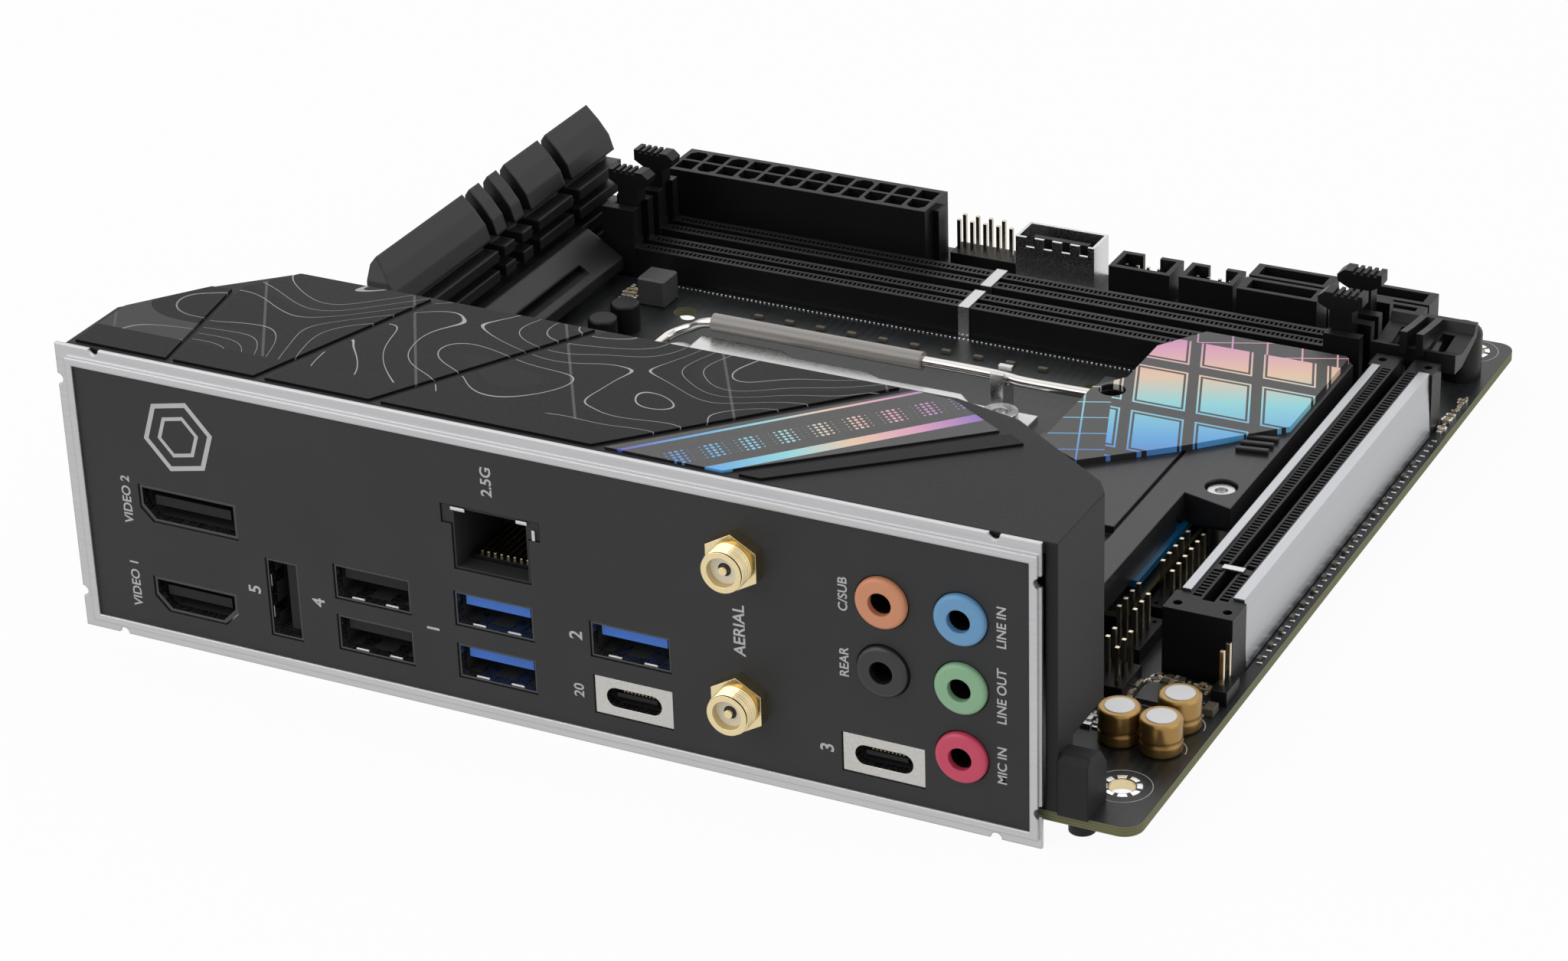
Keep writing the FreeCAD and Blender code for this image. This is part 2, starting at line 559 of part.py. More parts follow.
# Printed panels laid on the port cover with grooves between them.
def make_panels():
    z = S["cover_high"]
    high = z + S["panel_thick"]
    front = S["face_y"] + 2.4
    back = S["cover_back"] - 0.8
    left = S["cover_left"]
    corner = [(left + 1.2, front), (left + 17.5, front), (left + 13.0, back - 9.0),
              (left + 9.6, back - 9.4), (left + 1.2, back - 20.6)]
    first = [(left + 18.8, front), (left + 33.0, front), (left + 43.5, back), (left + 19.8, back),
             (left + 14.2, back - 7.6)]
    second = [(left + 35.0, front), (left + 53.0, front), (left + 72.0, back), (left + 45.5, back)]
    third = [(left + 55.0, front), (left + 90.0, front), (left + 122.5, back), (left + 74.0, back)]
    strip = [(left + 92.2, front), (left + 111.0, front), (left + 141.5, back - 7.0),
             (left + 131.5, back - 0.6), (left + 125.0, back)]
    plain = [(left + 113.6, front), (left + 117.0, front),
             (left + 146.3, back - 9.4), (left + 143.4, back - 7.4)]
    node("cover_panel_corner", coded("cover_panel_corner", sheet_poly(corner, z, high)))
    prints = [sheet_poly(item, z, high) for item in (first, second, third)]
    prints.append(sheet_poly(plain, z, high))
    node("cover_panels", coded("cover_panels", group(prints)))
    node("cover_strip_panel", coded("cover_strip_panel", sheet_poly(strip, z, high)))


# The clip post beside the shield and its peg under the board.
def make_clip_post():
    roof = [(-85.6, 0.0), (-78.8, 0.0), (-78.8, 6.2), (-81.0, 9.0), (-84.6, 9.6), (-85.6, 8.6)]
    right = S["cover_right"]
    body = end_poly(roof, right, right + 4.6)
    stem = post(right + PEG_X, PEG_Y, -TOP - 0.2, 0.0, S["hole_r"] - 0.5)
    foot = post(right + PEG_X, PEG_Y, -TOP - 2.2, -TOP, S["hole_r"])
    node("cover_clip_post", coded("cover_clip_post", body.fuse(stem).fuse(foot).removeSplitter()))


PEG_X = 2.3
PEG_Y = -82.0


def slat_outline(high, outer):
    """Half outline of the side heatsink in X and Z."""
    left = S["sink_left"]
    foot = S["pad_high"] + S["pad_thick"]
    return [(left, foot), (left, high - 1.2), (left + 0.8, high), (left + 3.2, high - 2.4),
            (left + 5.2, high - 5.0), (left + 6.2, high - 8.0), (outer, high - 8.6), (outer, foot)]


# The side heatsink: a tall finned block over the power stages along the left edge.
def make_side_sink():
    left = S["sink_left"]
    outer = left + S["sink_width"]
    y0, y1 = S["sink_rear"], S["sink_front"]
    foot = S["pad_high"] + S["pad_thick"]
    outline = slat_outline(S["sink_high"], outer)
    body = side_poly(outline, y0, y1)
    for k in range(4):
        z = 4.6 + 3.7 * k
        body = body.cut(slab(outer - 3.0, outer + 1, y0 - 1, y1 + 1, z, z + 1.7))
    base = side_poly([(outer - 0.1, foot), (outer - 0.1, 8.6), (outer + 1.6, 8.6), (outer + 8.4, 4.2),
                      (outer + 8.4, foot)], y0 + 4, 49.8)
    body = body.fuse(base)
    body = body.cut(slab(outer + 2.0, outer + 9, y0 - 1, 40.0, 4.9, 6.2))
    for y, wide in CROSS_CUTS:
        body = body.cut(slab(left + 1.4, outer + 0.1, y, y + wide, 9.0, 30.0))
        body = body.cut(slab(left - 1, left + 2, y, y + wide, S["sink_high"] - 5.0, 30.0))
    nose = end_poly([(y0 - 1, 30.0), (y0 - 1, S["sink_high"] - 5.5), (y0 + 2.4, S["sink_high"] + 0.6),
                     (y0 + 2.4, 30.0)], left - 1, outer + 1)
    relief = [(y0 - 1, -1.0), (y0 + 3.6, -1.0), (y0 + 3.6, foot), (y0 - 1, 9.0)]
    under = end_poly(relief, left - 1, outer + 1)
    body = body.cut(nose).cut(under)
    node("side_heatsink", coded("side_heatsink", body.removeSplitter()))


CROSS_CUTS = [(21.4, 2.2), (27.0, 2.8), (33.0, 2.6), (47.6, 2.6)]


# The rear heatsink under the port cover.
def make_rear_sink():
    foot = S["pad_high"] + S["pad_thick"]
    body = slab(-68.0, 12.0, -64.8, -52.0, foot, 34.0)
    for k in range(16):
        x = -66.0 + 5.0 * k
        body = body.cut(slab(x, x + 2.6, -66.0, -51.0, 7.0, 35.0))
    node("rear_heatsink", coded("rear_heatsink", body))


# Power stages and thermal pads under both heatsinks.
def make_power():
    chips, pads = [], []
    high = S["pad_high"]
    for k in range(6):
        y = 0.0 + 8.0 * k
        chips.append(slab(-83.6, -78.6, y, y + 6.0, 0.0, high))
    for k in range(8):
        x = -66.0 + 9.0 * k
        chips.append(slab(x, x + 6.0, -62.0, -57.0, 0.0, high))
    pads.append(slab(-84.0, -78.0, -1.0, 48.0, high, high + S["pad_thick"]))
    pads.append(slab(-67.0, 4.0, -63.0, -56.0, high, high + S["pad_thick"]))
    share("chips", chips)
    node("thermal_pads", coded("thermal_pads", group(pads)))
    cubes = []
    for k in range(4):
        y = -15.0 + 8.6 * k
        cubes.append(slab(-66.6, -60.2, y, y + 6.4, 0.0, 5.6))
    cubes.append(slab(-61.6, -56.2, 41.2, 46.6, 0.0, 5.2))
    for k in range(6):
        x = -46.0 + 9.0 * k
        cubes.append(slab(x, x + 6.4, -50.8, -44.4, 0.0, 5.6))
    boxes = [c.makeChamfer(0.3, c.Edges) for c in cubes]
    node("chokes", coded("chokes", group(boxes)))
    cans = []
    for x, y in ((-59.2, 24.4), (-58.6, 31.4), (-52.4, -34.6), (-45.0, -34.6), (22.0, -34.6)):
        can = post(x, y, 0.0, 5.2, 2.6)
        cans.append(can.makeFillet(0.5, [e for e in can.Edges if abs(e.CenterOfMass.z - TOP - 5.2) < 0.01]))
    share("round_capacitors", cans)


# The processor socket: a moulded frame with a field of contacts.
def make_socket():
    x, y = S["socket_x"], S["socket_y"]
    body = slab(x - 24.5, x + 24.5, y - 20.0, y + 20.0, 0.0, 2.5)
    body = body.cut(slab(x - 22.6, x + 22.6, y - 18.8, y + 18.8, 1.4, 4.0))
    node("processor_socket", coded("processor_socket", body))
    bars = []
    for k in range(28):
        row = y - 17.6 + 1.3 * k
        if abs(row - y) < 2.6:
            bars.append(slab(x - 21.6, x - 6.5, row, row + 0.5, 1.4, 1.7))
            bars.append(slab(x + 6.5, x + 21.6, row, row + 0.5, 1.4, 1.7))
        else:
            bars.append(slab(x - 21.6, x + 21.6, row, row + 0.5, 1.4, 1.7))
    share("gold_contacts", bars)


# The stationary load frame round the socket: four lugs, two side rails and bearings for the crank.
def make_frame():
    x, y = S["socket_x"], S["socket_y"]
    plate = slab(x - 35.6, x + 35.0, y - 24.0, y + 24.0, 0.0, 0.9)
    plate = plate.cut(slab(x - 25.2, x + 25.2, y - 20.6, y + 20.6, -1, 2))
    for a, b in FRAME_SCREWS:
        plate = plate.cut(post(x + a, y + b, -1.0, 2.0, 1.8))
    near, far, ear_top = S["crank_x"] - 2.6, S["crank_x"] + 2.6, S["crank_z"] + 2.6
    ears = slab(near, far, y - 15.5, y - 13.5, 0.0, ear_top)
    ears = ears.fuse(slab(near, far, y + 13.5, y + 15.5, 0.0, ear_top))
    hole = barrel(S["crank_x"], y - 30, y + 30, S["crank_z"], S["lever_r"] + S["lever_fit"])
    whole = plate.fuse(ears).cut(hole)
    rest = S["lever_y"]
    inner = S["lever_r"] + 0.35
    low = S["lever_z"] - S["lever_r"] - 0.4
    hook = slab(x + 26.6, x + 29.0, rest - inner - 0.9, rest + inner + 0.9, 0.0, S["lever_z"] + 1.2)
    hook = hook.cut(slab(x + 26.0, x + 30.0, rest - inner, rest + inner, low, 12.0))
    room = slab(S["crank_x"] - 5.0, S["crank_x"] + 3.4, y - 12.6, y + 12.6, -1.0, 3.0)
    whole = whole.cut(room)
    whole = whole.fuse(hook)
    node("socket_load_frame", coded("socket_load_frame", whole.removeSplitter()))
    screws = []
    for a, b in FRAME_SCREWS:
        head = post(x + a, y + b, 0.9, 2.7, 3.0).cut(post(x + a, y + b, 1.7, 3.0, 1.3))
        screws.append(head.fuse(post(x + a, y + b, -TOP - 1.0, 0.9, 1.5)).removeSplitter())
    share("screws", screws)


# The hinged load plate with its window, turned by the crank.
def make_load_plate():
    x, y = S["socket_x"], S["socket_y"]
    z = S["plate_low"]
    points = [(x - 27.5, y - 22.5), (x + 24.0, y - 22.5), (x + 26.0, y - 19.0), (x + 26.0, y - 7.0),
              (x + 30.6, y - 5.0), (x + 30.6, y + 5.0), (x + 26.0, y + 7.0), (x + 26.0, y + 17.4),
              (x + 23.0, y + 20.4), (x + 8.0, y + 20.4), (x + 5.0, y + 21.8), (x - 9.0, y + 21.8),
              (x - 12.0, y + 23.6), (x - 27.5, y + 23.6)]
    plate = sheet_poly(points, z, z + S["plate_thick"])
    plate = plate.cut(slab(x - 17.0, x + 17.0, y - 13.5, y + 13.5, z - 1, z + 4))
    plate = plate.makeFillet(0.4, outer_top_edges(plate, z + S["plate_thick"]))
    ring_r = S["lever_r"] + 1.0
    for along in (-10.6, 9.4):
        near, far = y + along - 1.2, y + along + 1.2
        arm = barrel(S["crank_x"], near, far, S["crank_z"], ring_r)
        arm = arm.fuse(slab(S["crank_x"], x - 27.0, near, far, z, z + S["plate_thick"]))
        bore = barrel(S["crank_x"], near - 0.8, far + 0.8, S["crank_z"], S["lever_r"] + S["lever_fit"])
        plate = plate.fuse(arm).cut(bore)
    node("load_plate", coded("load_plate", plate.removeSplitter()))


def outer_top_edges(shape, level):
    """Straight edges lying in the top face."""
    chosen = []
    for edge in shape.Edges:
        ends = [v.Point.z - TOP for v in edge.Vertexes]
        if len(ends) == 2 and abs(ends[0] - level) < 0.01 and abs(ends[1] - level) < 0.01:
            chosen.append(edge)
    return chosen


# The load lever: a bent wire with a crank through the frame ears and a hook rest.
def make_lever():
    x, y, z = S["crank_x"], S["lever_y"], S["lever_z"] + TOP
    low = S["crank_z"] + TOP
    start = S["socket_y"] - 16.5
    spots = [(x, start, low), (x, y - 3.0, low), (x + 3.2, y, low + 1.2), (x + 8.0, y, z),
             (x + 60.0, y, z), (x + 66.0, y, z - 0.4), (x + 80.0, y + 0.6, z - 0.6)]
    points = [FreeCAD.Vector(a, b, c) for a, b, c in spots]
    pieces = []
    for a, b in zip(points, points[1:]):
        pieces.append(Part.makeCylinder(S["lever_r"], (b - a).Length, a, b - a))
        pieces.append(Part.makeSphere(S["lever_r"], b))
    body = pieces[0]
    for piece in pieces[1:]:
        body = body.fuse(piece)
    node("load_lever", coded("load_lever", body))
    a, b = points[3] + FreeCAD.Vector(0.6, 0, 0), points[4] - FreeCAD.Vector(12.0, 0, 0)
    sleeve = Part.makeCylinder(S["lever_r"] + 0.7, (b - a).Length, a, b - a)
    start = a - FreeCAD.Vector(1, 0, 0)
    sleeve = sleeve.cut(Part.makeCylinder(S["lever_r"], (b - a).Length + 2, start, b - a))
    node("lever_sleeve", coded("lever_sleeve", sleeve))


# The stiffening plate under the board, with a window and threaded bosses.
def make_back_plate():
    x, y = S["socket_x"], S["socket_y"]
    plate = slab(x - 35.0, x + 35.0, y - 27.0, y + 27.0, -TOP - S["back_thick"], -TOP)
    plate = plate.cut(slab(x - 19.0, x + 19.0, y - 17.0, y + 17.0, -TOP - 5, 0))
    for a, b in FRAME_SCREWS:
        plate = plate.cut(post(x + a, y + b, -TOP - 5, 0, 1.52))
    node("stiffening_plate", coded("stiffening_plate", plate))


# One memory slot: a long body with a card channel and an end tower at each side.
def make_memory(index, y):
    x0, x1 = S["dimm_left"], S["dimm_right"]
    half = S["dimm_width"] / 2
    high = S["dimm_high"]
    body = slab(x0, x1, y - half, y + half, 0.0, high)
    body = body.cut(slab(x0 - 1, x1 + 1, y - 0.75, y + 0.75, 2.0, high + 1))
    key = S["dimm_key_x"]
    for side in (-1, 1):
        near, far = y + side * 1.9 - 0.55, y + side * 1.9 + 0.55
        body = body.cut(slab(x0 + 1.5, key - 1.6, near, far, high - 1.2, high + 1))
        body = body.cut(slab(key + 1.6, x1 - 1.5, near, far, high - 1.2, high + 1))
    slot = S["latch_thick"] / 2 + S["latch_gap"]
    for side, end in ((-1, x0), (1, x1)):
        far = end + side * S["tower_long"]
        low, top = min(end, far), max(end, far)
        tower = slab(low, top, y - 3.7, y + 3.7, 0.0, S["tower_high"])
        tower = tower.cut(slab(low - 1, top + 1, y - slot, y + slot, 1.2, S["tower_high"] + 1))
        pin = end + side * S["latch_reach"]
        hole = barrel(pin, y - 2.9, y + 2.9, S["latch_pin_high"], S["latch_pin_r"] + S["lever_fit"])
        body = body.fuse(tower).cut(hole)
    share("memory_slots", [body.removeSplitter()])
    for side, end, word in ((-1, x0, "left"), (1, x1, "right")):
        name = "memory_latch_%d_%s" % (index, word)
        node(name, coded(name, latch_shape(side, end + side * S["latch_reach"], y)))
    thick = S["clip_thick"]
    clip = slab(key - 1.0, key + 1.0, y - half - thick, y + half + thick, high, high + thick)
    return clip.fuse(slab(key - 1.0, key + 1.0, y - half - thick, y - half, 0.0, high + thick))


def latch_shape(side, pin, y):
    """An ejector latch standing in its tower, hung on its own pins."""
    half = S["latch_thick"] / 2
    top = S["latch_high"]
    low = S["latch_pin_high"]
    points = [(pin - side * 1.6, low - 1.2), (pin + side * 1.4, low - 1.2), (pin + side * 1.9, low + 2.0),
              (pin + side * 1.9, top - 3.0), (pin + side * 3.6, top - 2.0), (pin + side * 3.6, top),
              (pin - side * 3.0, top), (pin - side * 4.2, top - 1.0), (pin - side * 4.0, top - 2.2),
              (pin - side * 2.0, top - 3.2), (pin - side * 2.0, top - 6.0),
              (pin - side * 1.0, top - 7.0), (pin - side * 1.0, low + 3.0), (pin - side * 1.6, low + 1.2)]
    if side > 0:
        points = points[::-1]
    body = side_poly(points, y - half, y + half)
    for k in range(4):
        x = pin + side * (1.2 * k - 1.2) - 0.3
        body = body.cut(slab(x, x + 0.6, y - half - 1, y + half + 1, top - 0.5, top + 1))
    return body.fuse(barrel(pin, y - 2.7, y + 2.7, low, S["latch_pin_r"])).removeSplitter()


def make_memories():
    clips = [make_memory(1, S["dimm_y"]), make_memory(2, S["dimm_y"] + S["dimm_pitch"])]
    share("key_clips", clips)


# The graphics slot: body, metal shell, key clip and the card latch at the front end.
def make_graphics_slot():
    x = S["pcie_x"]
    y0, y1 = S["pcie_rear"], S["pcie_front"]
    high = S["pcie_high"]
    half = S["pcie_width"] / 2
    body = slab(x - half, x + half, y0, y1, 0.0, high)
    rear = slab(x - 5.5, x + 5.5, y0, y0 + 5.6, 0.0, high)
    front = slab(x - 5.5, x + 5.5, y1 - 4.6, y1, 0.0, high)
    body = body.fuse(rear).fuse(front)
    gap = S["pcie_channel"] / 2
    body = body.cut(slab(x - gap, x + gap, y0 + 4.2, y1 + 1, 2.5, high + 1))
    key = y0 + 14.6
    for side in (-1, 1):
        lane = x + side * 2.1
        body = body.cut(slab(lane - 0.7, lane + 0.7, y0 + 5.0, key - 0.8, high - 1.8, high + 1))
        body = body.cut(slab(lane - 0.7, lane + 0.7, key + 0.8, y1 - 5.0, high - 1.8, high + 1))
        for y in (y0 + 2.0, y1 - 2.0):
            body = body.cut(post(x + side * 3.9, y, high - 2.0, high + 1, 0.7))
    body = body.fuse(latch_base(x, y1))
    node("graphics_slot", coded("graphics_slot", body.removeSplitter()))
    left = slab(x - half - 0.9, x - half, y0 + 5.9, y1 - 4.9, 0.3, high - 0.5)
    left = left.fuse(slab(x - half - 0.9, x - half + 0.5, y0 + 5.9, y1 - 4.9, high, high + 0.4))
    left = left.fuse(slab(x - half - 0.9, x - half, y0 + 5.9, y1 - 4.9, high - 0.6, high + 0.4))
    right = end_free(x + half, y0 + 5.9, y1 - 4.9, high)
    node("graphics_shell", coded("graphics_shell", group([left.removeSplitter(), right])))
    clip = slab(x - 1.7, x + 1.7, key - 0.6, key + 0.6, high, high + 0.35)
    share("key_clips", [clip])


def end_free(x, y0, y1, high):
    """The right shell plate: an upright wall leaning out to a foot, with a top lip."""
    points = [(x, 0.3), (x + 1.75, 0.3), (x + 1.75, 1.4), (x + 1.3, high - 2.2), (x + 1.3, high + 0.4),
              (x - 0.5, high + 0.4), (x - 0.5, high), (x, high)]
    return side_poly(points, y0, y1)


def latch_base(x, y0):
    """Two cheeks at the front end of the graphics slot that carry the latch pivot."""
    base = slab(x - 3.6, x - 1.6, y0, y0 + 5.2, 0.0, 6.0)
    base = base.fuse(slab(x + 1.6, x + 3.6, y0, y0 + 5.2, 0.0, 6.0))
    base = base.fuse(slab(x - 3.6, x + 3.6, y0, y0 + 5.2, 0.0, 0.8))
    hole = Part.makeCylinder(0.9 + S["lever_fit"], 7.4, FreeCAD.Vector(x - 3.7, y0 + 3.0, 3.2 + TOP),
                             FreeCAD.Vector(1, 0, 0))
    return base.cut(hole)


# The graphics card latch: a forked clip on a pivot at the front end of the slot.
def make_graphics_latch():
    x = S["pcie_x"]
    y0 = S["pcie_front"]
    stem = end_poly([(y0 + 1.7, 1.8), (y0 + 4.3, 1.8), (y0 + 4.3, 8.6), (y0 + 7.0, 10.6), (y0 + 7.0, 12.4),
                     (y0 + 3.4, 10.6), (y0 + 1.7, 8.6)], x - 1.25, x + 1.25)
    fan = end_poly([(y0 + 1.2, 9.2), (y0 + 5.0, 9.0), (y0 + 12.2, 11.2), (y0 + 12.8, 13.6),
                    (y0 + 11.6, 13.6), (y0 + 10.8, 12.2), (y0 + 4.6, 11.4), (y0 + 1.2, 12.6)], x - 7.2, x + 7.4)
    for near in (x - 4.6, x + 2.4):
        fan = fan.cut(slab(near, near + 2.2, y0 + 3.0, y0 + 9.6, 8, 15))
    rib = [(y0 + 0.6, 11.6), (y0 + 12.0, 11.8), (y0 + 11.0, 14.0), (y0 + 5.0, 14.8), (y0 + 0.6, 15.6)]
    ribs = end_poly(rib, x - 2.0, x - 0.8).fuse(end_poly(rib, x + 0.8, x + 2.0))
    pin = Part.makeCylinder(0.9, 7.2, FreeCAD.Vector(x - 3.6, y0 + 3.0, 3.2 + TOP), FreeCAD.Vector(1, 0, 0))
    whole = stem.fuse(fan).fuse(ribs).fuse(pin).removeSplitter()
    node("graphics_latch", coded("graphics_latch", whole))


# The main power connector: two rows of twelve cells and their pins.
def make_power_socket():
    x0, x1 = S["atx_left"], S["atx_right"]
    y0, y1 = S["atx_rear"], S["atx_front"]
    high = S["atx_high"]
    body = slab(x0, x1, y0, y1, 0.0, high)
    pins = []
    pitch = S["atx_pitch"]
    first = (x0 + x1) / 2 - 5.5 * pitch
    for row in range(2):
        y = (y0 + y1) / 2 + (row - 0.5) * pitch
        for k in range(12):
            x = first + k * pitch
            cell = slab(x - 1.75, x + 1.75, y - 1.75, y + 1.75, 2.6, high + 1)
            if (k + row) % 2:
                cell = cell.makeChamfer(0.9, side_edges(cell, y + (row - 0.5) * 3.5))
            body = body.cut(cell)
            pins.append(slab(x - 0.55, x + 0.55, y - 0.55, y + 0.55, 2.6, 9.4))
    rib = slab(x1, x1 + 1.2, (y0 + y1) / 2 - 1.6, (y0 + y1) / 2 + 1.6, 2.0, high - 1)
    body = body.fuse(rib).fuse(slab(-47.6, -43.0, y1, y1 + 1.3, 3.0, high - 1.0)).removeSplitter()
    share("power_sockets", [body])
    share("connector_pins", pins)


def side_edges(shape, y):
    """Upright edges of a cell on its outer side."""
    chosen = []
    for edge in shape.Edges:
        ends = [v.Point for v in edge.Vertexes]
        if abs(ends[0].z - ends[1].z) > 3 and abs(ends[0].y - y) < 0.02:
            chosen.append(edge)
    return chosen


# The processor power connector, hidden by the heatsink and cover corner: two rows of four cells.
def make_small_power():
    x0, y0 = -84.0, -39.0
    body = slab(x0, x0 + 9.8, y0, y0 + 17.6, 0.0, S["atx_high"])
    pins = []
    pitch = S["atx_pitch"]
    for row in range(2):
        for k in range(4):
            x = x0 + 4.9 + (row - 0.5) * pitch
            y = y0 + 8.8 + (k - 1.5) * pitch
            body = body.cut(slab(x - 1.75, x + 1.75, y - 1.75, y + 1.75, 2.6, 14.0))
            pins.append(slab(x - 0.55, x + 0.55, y - 0.55, y + 0.55, 2.6, 9.4))
    share("power_sockets", [body])
    share("connector_pins", pins)


def pin_field(x, y, across, along, skip=(), top=8.5, low=0.0):
    """Square header pins on the standard pitch from one corner."""
    half = S["plug_pin"] / 2
    pitch = S["pin_pitch"]
    pins = []
    for i in range(across):
        for j in range(along):
            if (i, j) not in skip:
                a, b = x + i * pitch, y + j * pitch
                pins.append(slab(a - half, a + half, b - half, b + half, low, top))
    return pins


def pin_base(x, y, across, along):
    """The moulded strip that a field of header pins stands in."""
    pitch = S["pin_pitch"]
    last_x, last_y = x + (across - 0.5) * pitch, y + (along - 0.5) * pitch
    strip = slab(x - pitch / 2, last_x, y - pitch / 2, last_y, 0.0, 2.4)
    half = S["plug_pin"] / 2
    for i in range(across):
        for j in range(along):
            a, b = x + i * pitch, y + j * pitch
            strip = strip.cut(slab(a - half, a + half, b - half, b + half, -1, 3))
    return strip


HEADERS = [(-16.6, 79.4, 5, 2, ((4, 1),)), (82.9, -47.2, 1, 2, ()), (66.0, -52.2, 2, 3, ()),
           (64.0, -40.6, 2, 4, ((1, 3),)), (64.6, -27.4, 2, 6, ((0, 0),))]


def make_headers():
    bases, pins = [], []
    for x, y, across, along, skip in HEADERS:
        bases.append(pin_base(x, y, across, along))
        pins += pin_field(x, y, across, along, skip)
    share("header_housings", bases)
    share("connector_pins", pins)


# The two shrouded headers and their pins.
def make_box_headers():
    shells, pins = [], []
    for x0, x1, y0, y1, across in ((13.4, 24.8, 76.4, 83.4, 5), (26.4, 36.4, 76.8, 83.4, 4)):
        middle, top = (x0 + x1) / 2, S["header_high"]
        shell = slab(x0, x1, y0, y1, 0.0, top)
        shell = shell.cut(slab(x0 + 1.0, x1 - 1.0, y0 + 1.0, y1 - 1.0, 1.4, top + 1))
        shell = shell.cut(slab(middle - 1.6, middle + 1.6, y1 - 2, y1 + 1, 3.0, top + 1))
        shells.append(shell)
        for i in range(across):
            for j in range(2):
                x = (x0 + x1) / 2 + (i - (across - 1) / 2) * 2.0
                y = (y0 + y1) / 2 + (j - 0.5) * 2.0
                pins.append(slab(x - 0.25, x + 0.25, y - 0.25, y + 0.25, 1.4, top - 1.2))
    share("header_housings", shells)
    share("connector_pins", pins)


# The metal-shelled front panel port.
def make_front_port():
    shell = slab(-4.6, 10.4, 77.0, 83.6, 0.0, 8.4)
    shell = shell.cut(slab(-4.1, 9.9, 77.5, 83.1, 1.6, 9.0))
    for k in range(4):
        x = -2.6 + 3.4 * k
        shell = shell.cut(slab(x, x + 1.6, 76.0, 78.0, 6.6, 9.0))
    node("front_port_shell", coded("front_port_shell", shell))
    share("port_tongues", [slab(-2.4, 8.2, 79.7, 80.9, 1.6, 7.4)])


# Four drive data sockets in two stacks at the front edge.
def make_drive_ports():
    blocks, blades = [], []
    for x0, y0 in ((38.4, 73.4), (38.4, 79.4), (56.4, 73.4), (56.4, 79.4)):
        top = S["drive_high"]
        body = slab(x0, x0 + 14.6, y0, y0 + 5.2, 0.0, top)
        well = slab(x0 + 1.4, x0 + 13.2, y0 + 0.9, y0 + 4.3, 2.4, top + 1)
        blades.append(slab(x0 + 2.6, x0 + 12.0, y0 + 2.2, y0 + 3.3, 2.4, top - 1.2))
        blocks.append(body.cut(well))
    node("drive_sockets", coded("drive_sockets", group(blocks)))
    share("port_tongues", blades)


# The storage heatsink: a stepped body, a printed cover plate, a pad with its film and its carrier.
def make_storage():
    low, top = S["m2_low"], S["m2_top"]
    body = sheet_poly([(34.8, -46.0), (61.8, -46.0), (61.8, -9.2), (70.2, -11.6), (70.2, 43.2),
                       (69.0, 44.4), (44.2, 44.4), (38.6, 36.0), (38.6, 23.2), (34.8, 18.0)], low, top)
    body = body.cut(slab(30.0, 56.6, -60.0, -24.0, top - 1.4, top + 1))
    body = body.cut(slab(56.2, 56.9, -60.0, 4.0, top - 0.8, top + 1))
    body = body.cut(post(38.6, 17.6, low - 1, top + 1, 2.2))
    body = body.cut(post(66.3, -5.3, top - 2.0, top + 1, 2.6))
    body = body.cut(post(66.3, -5.3, low - 1, top + 1, 1.4))
    body = body.cut(end_poly([(-12.5, low - 1), (-9.0, low - 1), (-12.5, low + 2.6)], 61.0, 72.0))
    node("storage_heatsink", coded("storage_heatsink", body))
    plate = sheet_poly([(35.2, -3.4), (35.2, 17.8), (39.0, 23.0), (39.0, 35.8), (44.4, 44.0), (68.8, 44.0),
                        (69.4, 43.4), (69.4, 16.4), (56.4, 3.6), (43.0, -7.6)], top, top + 1.0)
    plate = plate.cut(post(38.6, 17.6, top - 1, top + 2, 2.2))
    node("storage_cover_plate", coded("storage_cover_plate", plate))
    node("storage_pad", coded("storage_pad", slab(44.0, 62.6, -30.0, 30.0, low - 1.2, low)))
    carrier = slab(41.0, 63.2, -36.0, 42.6, 3.6, 4.6)
    node("storage_carrier", coded("storage_carrier", carrier))
    node("storage_connector", coded("storage_connector", slab(41.4, 62.2, -33.6, -30.4, 0.0, 3.6)))
    posts = []
    for x, y in ((44.0, 40.0), (60.6, 40.0), (66.3, -5.3)):
        high = 3.6 if x < 65 else low
        posts.append(post(x, y, 0.0, high, 2.2))
    posts.append(post(44.0, 40.0, 4.6, low, 2.2))
    posts.append(post(60.6, 40.0, 4.6, low, 2.2))
    node("storage_posts", coded("storage_posts", group(posts)))
    screw = post(66.3, -5.3, top - 2.0, top - 0.6, 2.2).cut(post(66.3, -5.3, top - 1.4, top, 1.0))
    share("screws", [screw])
    share("chips", [slab(44.0, 60.0, 4.0, 20.0, 0.0, 1.6)])


# The gold audio capacitors at the rear right corner.
def make_audio_cans():
    cans = []
    for x, y in AUDIO_CANS:
        can = post(x, y, 0.0, S["can_high"], S["can_r"])
        can = can.makeFillet(0.45, [e for e in can.Edges if len(e.Vertexes) == 1])
        neck = post(x, y, 1.9, 2.3, S["can_r"] + 1).cut(post(x, y, 1.8, 2.4, S["can_r"] - 0.3))
        cans.append(can.cut(neck))
    node("audio_capacitors", coded("audio_capacitors", group(cans)))


AUDIO_CANS = [(73.3, -62.8), (79.9, -63.2), (79.9, -56.0)]


